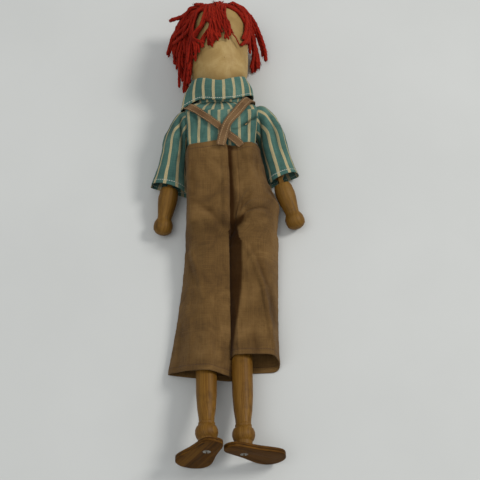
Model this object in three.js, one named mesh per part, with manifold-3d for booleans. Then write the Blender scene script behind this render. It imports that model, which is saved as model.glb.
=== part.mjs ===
// Ventriloquist dummy lying face down: turned wooden head and limbs on a hollow board torso,
// dressed in a striped shirt and cloth trousers.
// Units are millimetres. +Z is up (the dummy's back), +Y points at the head, +X is its right side.
// Body frame: x across, y up the spine from the hip axle, z towards the back.
import * as THREE from 'three';
import { mergeVertices } from 'three/addons/utils/BufferGeometryUtils.js';
import Module from 'manifold-3d';

const wasm = await Module();
wasm.setup();

// ---- driving dimensions ----
const DEG = Math.PI / 180;
const GAP = 0.3;                  // air left between touching pieces
const RUN = 0.1;                  // radial clearance of a pin in its bore
const ROUND = 20;                 // sides of a round piece

// torso box
const TORSO_W = 68, TORSO_D = 40, TORSO_TOP = 133, BOARD = 5, SIDE_BOARD = 6;
const SHOULDER_T = 8, PELVIS_LOW = -6, PELVIS_TOP = 22;
const WINDOW_HALF = 22, WINDOW_LOW = 50, WINDOW_TOP = 118;
const NECK_R = 14;
const TORSO_TILT = 5.42 * DEG;    // head end raised until the nose meets the floor
const SEAT_HALF_D = 24.2, SEAT_FRONT_LOW = 24, SEAT_BACK_LOW = -9;
const HIP_Z = SEAT_HALF_D * Math.cos(TORSO_TILT) - SEAT_FRONT_LOW * Math.sin(TORSO_TILT);
const HIP_Y = 22;

// hips, knees, feet
const HIP_X = 19, AXLE_R = 3;
const TONGUE_HALF = 6, TONGUE_W = 8;
const THIGH_L = 122, THIGH_R = 10.2, KNEE_PIN_R = 2.5, KNEE_PIN_HALF = 9.4, KNEE_TONGUE = 4.2;
const THIGH_DROP = 3.9 * DEG;     // thighs slope down from the hips to the knees
const SHIN_L = 144.9, FOOT_T = 5.3, SCREW_R = 2, SCREW_HEAD_R = 4.2;
const SHIN_RISE = { left: 11.98 * DEG, right: 8.15 * DEG };
const TOE_OUT = { left: 26 * DEG, right: 52 * DEG };

// arms
const SHOULDER_X = 45.5, SHOULDER_V = 118, ARM_R = 7.5, ELBOW_S = 64, HAND_S = 123, HAND_R = 11;
const SPREAD = { left: 10 * DEG, right: 18 * DEG };
const EYE_R = 6, EYE_T = 4, EYE_SHANK_R = 2, SMALL_PIN_R = 1.5;
const NUT_X = 20, NUT_R = 5, NUT_T = 3.5;   // nut inside the box that holds the eye bolt
const ELBOW_TONGUE = 2.5;

// head
const JAW_HALF = 10.4, JAW_SLIT = 0.6, JAW_LOW = 152.5, JAW_BACK = -17, MOUTH_V = 182, CHIN_V = 149;
const JAW_PIN = { v: 192, w: -5, r: 1.5 };
const NOSE_V = 204, NOSE_TIP = 41.3, NOSE_R = 5, NOSE_L = 14;
const EYEBALL_R = 5, EYEBALL_X = 13, EYEBALL_V = 217, EYEBALL_BACK = -27.6;
const STICK_R = 7, STICK_LOW = 46, TRIGGER_V = 80, TRIGGER_HALF = 2;
const HAIR_V = 251, HAIR_T = 6.5;

// clothing
const CLOTH = 1.6;
const SHIRT_HALF = [36.1, 22.1], SEAT_HALF = [38.2, SEAT_HALF_D];
const SHIRT_LOW = 62, WAIST_V = 91, COLLAR_T = 2.2, STRAP_T = 1.2;
const CHEST_FILL = 17;            // half width of the space left inside the folded shirt hem

const WOOD_PALE = { color: 0xd9c7a4, roughness: 0.62, metalness: 0 };
const WOOD_STAIN = { color: 0x8d5f34, roughness: 0.5, metalness: 0 };
const WOOD_DARK = { color: 0x5b3a20, roughness: 0.55, metalness: 0 };
const WOOD_RAW = { color: 0xc9a878, roughness: 0.7, metalness: 0 };
const STEEL = { color: 0xa8a9a8, roughness: 0.35, metalness: 0.9 };
const YARN = { color: 0x8e2f22, roughness: 0.95, metalness: 0 };
const COTTON_TEAL = { color: 0x3f8078, roughness: 0.92, metalness: 0 };
const COTTON_BROWN = { color: 0x6a5241, roughness: 0.94, metalness: 0 };
const EYE_PAINT = { color: 0x26201c, roughness: 0.3, metalness: 0 };

// ---- solids ----
const closed = (geometry) => {
  geometry.deleteAttribute('normal');
  geometry.deleteAttribute('uv');
  return mergeVertices(geometry, 1e-4);
};
const solid = (geometry) => {
  const g = closed(geometry);
  return new wasm.Manifold(new wasm.Mesh({
    numProp: 3, vertProperties: g.attributes.position.array.slice(), triVerts: new Uint32Array(g.index.array),
  }));
};
const geometryOf = (manifold) => {
  const mesh = manifold.getMesh();
  const g = new THREE.BufferGeometry();
  g.setAttribute('position', new THREE.BufferAttribute(new Float32Array(mesh.vertProperties), 3));
  g.setIndex(new THREE.BufferAttribute(new Uint32Array(mesh.triVerts), 1));
  return g;
};

const block = (x0, x1, y0, y1, z0, z1) =>
  solid(new THREE.BoxGeometry(x1 - x0, y1 - y0, z1 - z0)
    .translate((x0 + x1) / 2, (y0 + y1) / 2, (z0 + z1) / 2));

// a rod of radius r along one axis from a to b, its centre at (p, q) on the other two axes
const rod = (axis, r, a, b, p = 0, q = 0, sides = 20) => {
  const g = new THREE.CylinderGeometry(r, r, b - a, sides).translate(0, (a + b) / 2, 0);
  if (axis === 'x') g.rotateZ(-Math.PI / 2).translate(0, p, q);
  if (axis === 'y') g.translate(p, 0, q);
  if (axis === 'z') g.rotateX(Math.PI / 2).translate(p, q, 0);
  return solid(g);
};

// a turned piece along -Y: pairs of (distance down the axis, radius)
const turned = (profile, sides = ROUND) => {
  const points = profile.map(([s, r]) => new THREE.Vector2(r, -s));
  const last = points[points.length - 1];
  if (points[0].x > 0) points.unshift(new THREE.Vector2(0, points[0].y));
  if (last.x > 0) points.push(new THREE.Vector2(0, last.y));
  return solid(new THREE.LatheGeometry(points.reverse(), sides));
};

// a flat piece: outline [[a, b], ...] thick along x, with a along y and b along z
const flatX = (outline, x0, x1) => {
  const shape = new THREE.Shape(outline.map(([y, z]) => new THREE.Vector2(y, z)));
  const g = new THREE.ExtrudeGeometry(shape, { depth: x1 - x0, bevelEnabled: false });
  g.applyMatrix4(new THREE.Matrix4().set(0, 0, 1, x0, 1, 0, 0, 0, 0, 1, 0, 0, 0, 0, 0, 1));
  return solid(g);
};

// round-ended tongue in the y-z plane: pin centre at the origin, running down to -length
const tongue = (half, width, length) => {
  const outline = [[-length, -width], [0, -width]];
  const steps = 8;
  for (let i = 1; i < steps; i++) {
    const a = -Math.PI / 2 + (Math.PI * i) / steps;
    outline.push([width * Math.cos(a), width * Math.sin(a)]);
  }
  outline.push([0, width], [-length, width]);
  return flatX(outline, -half, half);
};

// a ring of points: rounded rectangle or ellipse, power 2 = ellipse, higher = squarer
const ring = (count, half, centre, height, power = 2) => {
  const points = [];
  for (let i = 0; i < count; i++) {
    const a = (2 * Math.PI * i) / count;
    const c = Math.cos(a), s = Math.sin(a);
    const x = centre[0] + half[0] * Math.sign(c) * Math.abs(c) ** (2 / power);
    const z = centre[1] + half[1] * Math.sign(s) * Math.abs(s) ** (2 / power);
    points.push([x, typeof height === 'function' ? height(x, z) : height, z]);
  }
  return points;
};

// a closed sleeve between outer and inner rings of equal count, listed from the bottom up
const sleeve = (outer, inner) => {
  const n = outer[0].length, rows = [...outer, ...[...inner].reverse()];
  const positions = rows.flat(2), index = [];
  for (let r = 0; r < rows.length; r++) {
    const next = (r + 1) % rows.length;
    for (let i = 0; i < n; i++) {
      const j = (i + 1) % n;
      index.push(r * n + i, next * n + i, next * n + j, r * n + i, next * n + j, r * n + j);
    }
  }
  const g = new THREE.BufferGeometry();
  g.setAttribute('position', new THREE.Float32BufferAttribute(positions, 3));
  g.setIndex(index);
  return solid(g);
};

// ---- frames ----
const at = (x, y, z) => new THREE.Matrix4().makeTranslation(x, y, z);
const turnX = (a) => new THREE.Matrix4().makeRotationX(a);
const turnY = (a) => new THREE.Matrix4().makeRotationY(a);
const turnZ = (a) => new THREE.Matrix4().makeRotationZ(a);
const chain = (...matrices) => matrices.reduce((m, n) => m.clone().multiply(n));

const BODY = chain(at(0, HIP_Y, HIP_Z), turnX(TORSO_TILT));
const SIGN = { left: -1, right: 1 };
const legFrames = (side) => {
  const thigh = chain(at(SIGN[side] * HIP_X, HIP_Y, HIP_Z), turnX(THIGH_DROP));
  const knee = new THREE.Vector3(0, -THIGH_L, 0).applyMatrix4(thigh);
  const shin = chain(at(knee.x, knee.y, knee.z), turnX(-SHIN_RISE[side]));
  const foot = chain(shin, turnY(-SIGN[side] * TOE_OUT[side]));
  return { thigh, shin, foot };
};
const armFrame = (side) => {
  const shoulder = new THREE.Vector3(SIGN[side] * SHOULDER_X, SHOULDER_V, 0).applyMatrix4(BODY);
  const drop = Math.asin((shoulder.z - HAND_R) / (HAND_S * Math.cos(SPREAD[side])));
  const eye = chain(at(shoulder.x, shoulder.y, shoulder.z), turnX(drop));
  return { eye, arm: chain(eye, turnZ(SIGN[side] * SPREAD[side])) };
};

const group = new THREE.Group();
group.name = 'ventriloquist_dummy';
const add = (name, manifold, frame, look) => {
  const geometry = geometryOf(manifold).applyMatrix4(frame);
  const mesh = new THREE.Mesh(closed(geometry), new THREE.MeshStandardMaterial(look));
  mesh.name = name;
  group.add(mesh);
};

// ---- torso boards ----
function torsoBoards() {
  const w = TORSO_W / 2, d = TORSO_D / 2, inner = d - BOARD;
  const low = PELVIS_TOP + GAP, boardLow = TORSO_TOP - SHOULDER_T;
  add('chest_board', block(-w, w, low, TORSO_TOP, -d, -inner), BODY, WOOD_RAW);
  const back = block(-w, w, low, TORSO_TOP, inner, d)
    .subtract(block(-WINDOW_HALF, WINDOW_HALF, WINDOW_LOW, WINDOW_TOP, inner - 1, d + 1));
  add('back_board', back, BODY, WOOD_RAW);
  for (const side of ['left', 'right']) {
    const k = SIGN[side], a = k * w, b = k * (w - SIDE_BOARD);
    const board = block(Math.min(a, b), Math.max(a, b), low, boardLow - GAP, -inner + GAP, inner - GAP)
      .subtract(rod('x', EYE_SHANK_R + RUN, -w - 1, w + 1, SHOULDER_V, 0, 16));
    add(`side_board_${side}`, board, BODY, WOOD_RAW);
  }
  const shoulders = block(-w, w, boardLow, TORSO_TOP, -inner + GAP, inner - GAP)
    .subtract(rod('y', NECK_R + GAP + 0.1, boardLow - 1, TORSO_TOP + 1, 0, 0, 32));
  add('shoulder_board', shoulders, BODY, WOOD_RAW);

  let pelvis = block(-w, w, PELVIS_LOW, PELVIS_TOP, -d, d)
    .subtract(rod('x', AXLE_R + RUN, -w - 1, w + 1));
  for (const k of [-1, 1]) {
    const x = k * HIP_X, half = TONGUE_HALF + 0.5;
    pelvis = pelvis.subtract(block(x - half, x + half, PELVIS_LOW - 1, 13.5, -d - 1, d + 1));
  }
  add('pelvis_block', pelvis, BODY, WOOD_RAW);
  add('hip_axle', rod('x', AXLE_R, -w + 0.5, w - 0.5), BODY, WOOD_STAIN);
}

// ---- head ----
// half of the head's outline: (height up the spine, radius)
const HEAD = [
  [126, NECK_R], [150, NECK_R], [154, 20], [161, 26], [170, 30.5], [182, 33.6], [196, 34.4], [222, 34.4],
  [238, 33.2], [250, 29.6], [259, 23], [265, 14], [268, 5],
];
const headBlank = (extra, from = 0) => {
  const rows = HEAD.filter(([v]) => v >= from).map(([v, r]) => {
    const lift = v > 238 ? (extra * (v - 238)) / 30 : 0;
    return [-(v + lift), r + extra];
  });
  return turned(rows.reverse(), 26);
};

function head() {
  const pin = JAW_PIN;
  const slit = JAW_HALF + JAW_SLIT;
  const trap = block(-slit, slit, CHIN_V, MOUTH_V + 0.5, -45, -4)
    .add(block(-slit, slit, CHIN_V, pin.v + 6, -22, 2));
  let body = headBlank(0).subtract(trap)
    .subtract(rod('x', pin.r + RUN, -22, 22, pin.v, pin.w, 16))
    .subtract(rod('z', NOSE_R + 0.1, -45, -26, 0, NOSE_V, 20));
  for (const x of [-EYEBALL_X, EYEBALL_X]) {
    body = body.subtract(rod('z', EYEBALL_R + 0.1, -45, EYEBALL_BACK + 0.6, x, EYEBALL_V, 20));
  }
  add('head', body, BODY, WOOD_PALE);
  add('jaw_pin', rod('x', pin.r, -21.5, 21.5, pin.v, pin.w, 16), BODY, STEEL);

  // the jaw: chin segment of the head between the slots, with an arm back to its pin
  const chin = headBlank(-0.3, 140)
    .intersect(block(-JAW_HALF, JAW_HALF, JAW_LOW, MOUTH_V, -45, JAW_BACK));
  const arm = flatX([[MOUTH_V - 8, -20], [MOUTH_V - 12, -15], [pin.v - 4, 0], [pin.v + 4, 0],
    [pin.v + 4, -8], [MOUTH_V, JAW_BACK], [MOUTH_V, -20]], -JAW_HALF, JAW_HALF);
  const jaw = chin.add(arm).subtract(rod('x', pin.r + RUN, -20, 20, pin.v, pin.w, 16));
  add('jaw', jaw, BODY, WOOD_PALE);

  const nose = turned([[0, NOSE_R], [9, NOSE_R], [12, 4.2], [13.6, 2.4], [NOSE_L, 0]], 20);
  add('nose', nose, chain(BODY, at(0, NOSE_V, NOSE_L - NOSE_TIP), turnX(Math.PI / 2)), WOOD_PALE);
  for (const side of ['left', 'right']) {
    const eye = turned([[0, EYEBALL_R], [4, EYEBALL_R], [5.6, 3.4], [6.2, 0]], 20);
    const frame = chain(BODY, at(SIGN[side] * EYEBALL_X, EYEBALL_V, EYEBALL_BACK), turnX(Math.PI / 2));
    add(`eye_${side}`, eye, frame, EYE_PAINT);
  }
}

function hair() {
  const ball = (r) => solid(new THREE.SphereGeometry(1, 16, 9).scale(...r));
  const hole = headBlank(0.4);
  const crown = headBlank(HAIR_T, 232).intersect(block(-60, 60, HAIR_V, 300, -60, 60)).subtract(hole);
  const clear = headBlank(HAIR_T + 0.5, 232).intersect(block(-60, 60, HAIR_V - 0.4, 300, -60, 60));
  const left = ball([27, 30, 29]).translate([-29, 232, 14]).subtract(hole).subtract(clear)
    .subtract(block(-2, 60, 150, 300, -60, 60));
  const right = ball([16, 21, 20]).translate([34, 226, 6]).subtract(hole).subtract(clear)
    .subtract(block(-60, 12, 150, 300, -60, 60));
  add('hair_crown', crown, BODY, YARN);
  add('hair_left', left, BODY, YARN);
  add('hair_right', right, BODY, YARN);
}

function headStick() {
  const slot = block(-TRIGGER_HALF - GAP, TRIGGER_HALF + GAP, TRIGGER_V - 8, TRIGGER_V + 8,
    -STICK_R - 1, STICK_R + 1);
  const stick = rod('y', STICK_R, STICK_LOW, 126 - GAP).subtract(slot)
    .subtract(rod('x', SMALL_PIN_R + RUN, -STICK_R - 1, STICK_R + 1, TRIGGER_V, 0, 16));
  add('head_stick', stick, BODY, WOOD_RAW);
  add('trigger_pin', rod('x', SMALL_PIN_R, -STICK_R + 0.4, STICK_R - 0.4, TRIGGER_V, 0, 16), BODY, STEEL);
  const t = TRIGGER_V;
  const lever = flatX([[t - 2.6, -12.5], [t - 2.6, 13.5], [t - 0.5, 14], [t + 2.6, 13.5], [t + 2.6, -12.5],
    [t + 0.5, -13]], -TRIGGER_HALF, TRIGGER_HALF)
    .subtract(rod('x', SMALL_PIN_R + RUN, -4, 4, t, 0, 16));
  add('trigger', lever, BODY, STEEL);
}

// ---- arms ----
function arm(side) {
  const k = SIGN[side], frames = armFrame(side);
  const end = NUT_X - SHOULDER_X;
  const shank = rod('x', EYE_SHANK_R, end, -3, 0, 0, 16).add(rod('z', EYE_R, -EYE_T / 2, EYE_T / 2))
    .add(rod('x', NUT_R, end, end + NUT_T))
    .subtract(rod('z', SMALL_PIN_R + RUN, -5, 5, 0, 0, 16));
  const eye = k > 0 ? shank : shank.mirror([1, 0, 0]);
  add(`shoulder_eye_${side}`, eye, frames.eye, STEEL);

  const upper = turned([[-7.5, 0], [-7, 2.8], [-5.4, 5.2], [-2.8, 7], [0, ARM_R], [ELBOW_S, ARM_R],
    [ELBOW_S + 4, 6.2], [ELBOW_S + 6.8, 3.4], [ELBOW_S + 7.5, 0]], 16)
    .subtract(block(-10, 10, -EYE_R - 0.8, 10, -EYE_T / 2 - 0.3, EYE_T / 2 + 0.3))
    .subtract(rod('z', SMALL_PIN_R + RUN, -10, 10, 0, 0, 16))
    .subtract(block(-ELBOW_TONGUE - GAP, ELBOW_TONGUE + GAP, -ELBOW_S - 12, -ELBOW_S + 6.8, -10, 10))
    .subtract(rod('x', SMALL_PIN_R + RUN, -10, 10, -ELBOW_S, 0, 16));
  add(`upper_arm_${side}`, upper, frames.arm, WOOD_STAIN);
  add(`shoulder_pin_${side}`, rod('z', SMALL_PIN_R, -6.8, 6.8, 0, 0, 16), frames.arm, STEEL);
  add(`elbow_pin_${side}`, rod('x', SMALL_PIN_R, -6.8, 6.8, -ELBOW_S, 0, 16), frames.arm, STEEL);

  const lower = turned([[ELBOW_S + 13, 8.8], [ELBOW_S + 17, 10.4], [ELBOW_S + 25, 11.2], [96, 10.6], [104, 9.2],
    [110, 8.2], [113, 8], [115.2, 9.2], [118.6, 10.7], [HAND_S, HAND_R], [127, 10.2], [130, 7.4], [131.6, 4],
    [132, 0]])
    .add(tongue(ELBOW_TONGUE, 5.5, 15).translate([0, -ELBOW_S, 0]))
    .subtract(rod('x', SMALL_PIN_R + RUN, -5, 5, -ELBOW_S, 0, 16));
  add(`forearm_${side}`, lower, frames.arm, WOOD_STAIN);

  // sleeve on the upper arm and its wide cuff on the forearm
  const row = (s, near, far, deep, shrink) => ring(20,
    [(near + far) / 2 - shrink, deep - shrink], [(k * (far - near)) / 2, 0], -s, 2.4);
  const upperRows = [[48, 9.8, 18, 12.3], [20, 9.6, 11.5, 10.8]];
  const cuffRows = [[86, 13.5, 24, 13.6], [75.5, 11.8, 22, 12.8]];
  for (const [name, rows] of [['sleeve', upperRows], ['cuff', cuffRows]]) {
    const shell = sleeve(rows.map((r) => row(...r, 0)), rows.map((r) => row(...r, CLOTH)));
    add(`${name}_${side}`, shell, frames.arm, COTTON_TEAL);
  }
}

// ---- legs ----
// sole outline: (distance towards the toe, half width), and how far its middle lies outward of the screw
const SOLE = [[-27, 0], [-26.2, 5], [-23.5, 9], [-18.5, 11.6], [-8, 13], [6, 15], [20, 18.5], [31, 19.5],
  [39, 16], [44.2, 9], [45.8, 0]];
const SOLE_OUT = { left: 2, right: 6 };
const SOLE_POINTS = 40;
const soleSolid = (side, top, bottom) => {
  const k = SIGN[side], out = SOLE_OUT[side];
  const middle = ([t]) => out * Math.min(1, (60 - t) / 30);
  const points = [...SOLE.map((r) => [k * (middle(r) + r[1]), r[0]]),
    ...SOLE.slice(1, -1).reverse().map((r) => [k * (middle(r) - r[1]), r[0]])];
  const curve = new THREE.CatmullRomCurve3(points.map(([x, t]) => new THREE.Vector3(x, t, 0)), true);
  const outline = curve.getPoints(SOLE_POINTS).slice(0, -1).map(({ x, y }) => new THREE.Vector2(x, y));
  const g = new THREE.ExtrudeGeometry(new THREE.Shape(outline), { depth: bottom - top, bevelEnabled: false });
  return solid(g.rotateX(-Math.PI / 2).translate(0, -bottom, 0));
};

function leg(side) {
  const k = SIGN[side], frames = legFrames(side);
  const thigh = turned([[24, 9.2], [27, THIGH_R], [THIGH_L, THIGH_R], [THIGH_L + 6, 8.8],
    [THIGH_L + 9.6, 6.2], [THIGH_L + 11, 2.6]])
    .add(tongue(TONGUE_HALF, TONGUE_W, 28))
    .subtract(rod('x', AXLE_R + RUN, -20, 20))
    .subtract(block(-KNEE_TONGUE - GAP, KNEE_TONGUE + GAP, -THIGH_L - 15, -THIGH_L + 9.6, -20, 20))
    .subtract(rod('x', KNEE_PIN_R + RUN, -20, 20, -THIGH_L));
  add(`thigh_${side}`, thigh, frames.thigh, WOOD_STAIN);
  add(`knee_pin_${side}`, rod('x', KNEE_PIN_R, -KNEE_PIN_HALF, KNEE_PIN_HALF, -THIGH_L), frames.thigh, STEEL);

  const end = SHIN_L - FOOT_T - GAP;
  const shin = turned([[20, 9.4], [24, 10.8], [42, 11.3], [80, 11], [97, 9.8], [107, 8.4], [112, 8.1],
    [113, 8.8], [114.6, 8.8], [115.6, 8.3], [118, 10.8], [121, 11.9], [125, 12], [128.5, 11], [131, 9.2],
    [end, 9]])
    .add(tongue(KNEE_TONGUE, TONGUE_W, 24))
    .subtract(rod('x', KNEE_PIN_R + RUN, -20, 20))
    .subtract(rod('y', SCREW_R + RUN, -end - 1, -114, 0, 0, 16));
  add(`shin_${side}`, shin, frames.shin, WOOD_STAIN);

  const sink = (extra) => turned([[114 + 1 - extra, SCREW_R + extra], [SHIN_L - 3.4, SCREW_R + extra],
    [SHIN_L - 0.8, SCREW_HEAD_R + extra], [SHIN_L - 0.3 + 2 * extra, SCREW_HEAD_R + extra]], 16);
  const drive = block(-0.6, 0.6, -SHIN_L - 1, -SHIN_L + 1.5, -5, 5);
  add(`foot_screw_${side}`, sink(0).subtract(drive), frames.shin, STEEL);
  const plate = soleSolid(side, SHIN_L - FOOT_T, SHIN_L).subtract(sink(0.2));
  add(`foot_${side}`, plate, frames.foot, WOOD_DARK);

  // trouser leg, on the thigh and on the shin
  const row = (s, near, far, top, low, shrink) => ring(24,
    [(near + far) / 2 - shrink, (top + low) / 2 - shrink],
    [(k * (far - near)) / 2, (top - low) / 2], -s, 2.5);
  const upperRows = [[100, 17.2, 23, 15.4, 14.8], [66, 17.8, 22, 16, 16], [30, 18.2, 21, 17, 17]];
  const kneeZ = new THREE.Vector3().applyMatrix4(frames.shin).z, rise = SHIN_RISE[side];
  const floor = (s) => (kneeZ + s * Math.sin(rise)) / Math.cos(rise) - 0.5;
  const lowerRows = [[57, 18.2, 31, 15, floor(57)], [40, 18, 27, 15, Math.min(19.6, floor(40))],
    [24, 17.2, 23.4, 15, Math.min(16.4, floor(24))]];
  for (const [name, rows, frame] of [['upper', upperRows, frames.thigh], ['lower', lowerRows, frames.shin]]) {
    const shell = sleeve(rows.map((r) => row(...r, 0)), rows.map((r) => row(...r, CLOTH)));
    add(`trouser_${name}_${side}`, shell, frame, COTTON_BROWN);
  }
}

// ---- shirt body, collar, trouser seat and straps ----
function clothing() {
  const rect = (half, height, shrink = 0) =>
    ring(32, [half[0] - shrink, half[1] - shrink], [0, 0], height, 9);
  const top = TORSO_TOP + 0.4, over = top + CLOTH;
  const outer = sleeve([rect(SHIRT_HALF, SHIRT_LOW), rect(SHIRT_HALF, over)],
    [rect([CHEST_FILL, CHEST_FILL], SHIRT_LOW), rect([CHEST_FILL, CHEST_FILL], over)]);
  const room = block(-SHIRT_HALF[0] + CLOTH, SHIRT_HALF[0] - CLOTH, 0, top,
    -SHIRT_HALF[1] + CLOTH, SHIRT_HALF[1] - CLOTH);
  const opening = block(-WINDOW_HALF, WINDOW_HALF, WAIST_V + 3, WINDOW_TOP, 10, 30);
  const bolt = rod('x', EYE_SHANK_R + 1, -50, 50, SHOULDER_V, 0, 16);
  const shirt = outer.subtract(room).subtract(opening).subtract(bolt);
  add('shirt_body', shirt, BODY, COTTON_TEAL);

  const collarRows = [[137.4, 24, 22], [147, 32.5, 30], [157, 34.8, 33], [168, 34.6, 34]];
  const circle = ([v, a, b], shrink) => ring(28, [a - shrink, b - shrink], [0, 0], v, 2);
  add('collar', sleeve(collarRows.map((r) => circle(r, 0)), collarRows.map((r) => circle(r, COLLAR_T))),
    BODY, COTTON_TEAL);

  const slant = (x, z) => SEAT_FRONT_LOW - (Math.max(z, 0) / SEAT_HALF_D) * (SEAT_FRONT_LOW - SEAT_BACK_LOW);
  const seatRows = [slant, (x, z) => (slant(x, z) + 60) / 2, WAIST_V];
  const seat = sleeve(seatRows.map((h) => rect(SEAT_HALF, h)),
    seatRows.map((h) => rect(SEAT_HALF, h, CLOTH)));
  add('trouser_seat', seat, BODY, COTTON_BROWN);
}

// a strap from the back of the waistband over the shoulder and down the front:
// rows of (x, y, z, half width, outward direction in y and z), mitred at the two shoulder edges
function strap(side) {
  const k = SIGN[side], lift = side === 'right' ? STRAP_T + 0.6 : GAP;
  const back = SHIRT_HALF[1] + lift, over = TORSO_TOP + 0.4 + CLOTH + lift;
  const path = [[-k * 10, WAIST_V + 0.5, back, 5.8, 0, 1], [k * 31, over, back, 5, 1, 1],
    [k * 31, over, -back, 4.8, 1, -1], [k * 22, WAIST_V + 0.5, -back, 4.7, 0, -1]];
  return path.map(([x, y, z, half, upY, upZ]) => [[-half, 0], [half, 0], [half, STRAP_T], [-half, STRAP_T]]
    .map(([a, b]) => [x + a, y + b * upY, z + b * upZ]));
}
const band = (rows) => {
  const positions = rows.flat(2), index = [], n = 4;
  for (let r = 0; r + 1 < rows.length; r++) {
    for (let i = 0; i < n; i++) {
      const j = (i + 1) % n, a = r * n + i, b = r * n + j, c = a + n, d = b + n;
      index.push(a, d, b, a, c, d);
    }
  }
  const e = (rows.length - 1) * n;
  index.push(0, 1, 2, 0, 2, 3, e, e + 2, e + 1, e, e + 3, e + 2);
  const g = new THREE.BufferGeometry();
  g.setAttribute('position', new THREE.Float32BufferAttribute(positions, 3));
  g.setIndex(index);
  return solid(g);
};

torsoBoards();
head();
hair();
headStick();
for (const side of ['left', 'right']) {
  arm(side);
  leg(side);
}
clothing();
for (const side of ['left', 'right']) add(`strap_${side}`, band(strap(side)), BODY, COTTON_BROWN);

// set the whole dummy down with the centre of its box over the origin
const bounds = new THREE.Box3().setFromObject(group);
const middle = bounds.getCenter(new THREE.Vector3());
const settle = at(-middle.x, -middle.y, -bounds.min.z);
group.traverse((node) => node.isMesh && node.geometry.applyMatrix4(settle));

// pivot points and axes of the joints in the finished position
const pivots = {};
const pivot = (name, frame, point, axis) => {
  const place = chain(settle, frame);
  pivots[name] = {
    point: new THREE.Vector3(...point).applyMatrix4(place).toArray(),
    axis: new THREE.Vector3(...axis).transformDirection(place).toArray(),
  };
};
pivot('head_turn', BODY, [0, NECK_R, 0], [0, 1, 0]);
pivot('jaw_open', BODY, [0, JAW_PIN.v, JAW_PIN.w], [-1, 0, 0]);
pivot('trigger_pull', BODY, [0, TRIGGER_V, 0], [-1, 0, 0]);
for (const side of ['left', 'right']) {
  const { eye, arm: armAt } = armFrame(side), { thigh, shin } = legFrames(side), k = SIGN[side];
  pivot(`shoulder_swing_${side}`, eye, [0, 0, 0], [1, 0, 0]);
  pivot(`arm_spread_${side}`, armAt, [0, 0, 0], [0, 0, k]);
  pivot(`elbow_${side}`, armAt, [0, -ELBOW_S, 0], [1, 0, 0]);
  pivot(`hip_${side}`, thigh, [0, 0, 0], [1, 0, 0]);
  pivot(`knee_${side}`, shin, [0, 0, 0], [-1, 0, 0]);
  pivot(`foot_turn_${side}`, shin, [0, -SHIN_L, 0], [0, -k, 0]);
  pivot(`sole_${side}`, shin, [0, -SHIN_L, 0], [0, -1, 0]);
}
group.userData.pivots = pivots;

export default group;
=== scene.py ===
import math

import bmesh
import bpy
import numpy as np
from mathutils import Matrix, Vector, kdtree


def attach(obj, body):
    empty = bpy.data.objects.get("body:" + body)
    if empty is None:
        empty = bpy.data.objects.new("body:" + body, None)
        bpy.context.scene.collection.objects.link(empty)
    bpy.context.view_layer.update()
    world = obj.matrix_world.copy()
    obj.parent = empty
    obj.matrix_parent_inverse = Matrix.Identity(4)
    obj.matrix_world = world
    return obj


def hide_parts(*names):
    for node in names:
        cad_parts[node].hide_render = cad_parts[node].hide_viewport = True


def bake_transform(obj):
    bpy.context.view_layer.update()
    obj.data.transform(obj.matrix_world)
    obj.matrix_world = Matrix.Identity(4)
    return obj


# Lengths are millimetres in the row frame unless a name says otherwise; Blender gets metres.
MM = 0.001
TAU = 2 * math.pi

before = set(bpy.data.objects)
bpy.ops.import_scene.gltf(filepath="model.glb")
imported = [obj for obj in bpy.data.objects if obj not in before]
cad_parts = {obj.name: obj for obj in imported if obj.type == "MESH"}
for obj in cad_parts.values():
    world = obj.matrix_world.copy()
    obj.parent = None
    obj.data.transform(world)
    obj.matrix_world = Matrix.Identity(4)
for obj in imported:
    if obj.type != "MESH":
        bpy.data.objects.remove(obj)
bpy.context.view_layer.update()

# ---------------------------------------------------------------- frames of the limbs
SPINE_COS, SPINE_SIN = 0.99553, 0.09446
SPINE_ORIGIN = np.array([-5.42, -0.94, 21.93])
SIDES = ("left", "right")
SIGN = {"left": -1.0, "right": 1.0}
SHOULDER = {"left": np.array([-50.92, 116.53, 33.08]), "right": np.array([40.08, 116.53, 33.08])}
ELBOW = {"left": np.array([-62.03, 54.55, 21.65]), "right": np.array([59.86, 56.75, 21.65])}
ARM_WAY = {s: (ELBOW[s] - SHOULDER[s]) / np.linalg.norm(ELBOW[s] - SHOULDER[s]) for s in SIDES}
THIGH_WAY = np.array([0.0, -0.9977, -0.068])
SHIN_WAY = {"left": np.array([0.0, -0.9782, 0.2076]), "right": np.array([0.0, -0.9899, 0.1418])}
SPINE_WAY = np.array([0.0, SPINE_COS, SPINE_SIN])


def body_point(p):
    """Torso-frame points (across, up the spine, towards the back) in the row frame."""
    p = np.asarray(p, float)
    x, v, w = p[..., 0], p[..., 1], p[..., 2]
    return SPINE_ORIGIN + np.stack([x, v * SPINE_COS - w * SPINE_SIN, v * SPINE_SIN + w * SPINE_COS], -1)


def torso_point(p):
    """Row-frame points in the torso frame."""
    q = np.asarray(p, float) - SPINE_ORIGIN
    return np.stack([q[..., 0], q[..., 1] * SPINE_COS + q[..., 2] * SPINE_SIN,
                     q[..., 2] * SPINE_COS - q[..., 1] * SPINE_SIN], -1)


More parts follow.
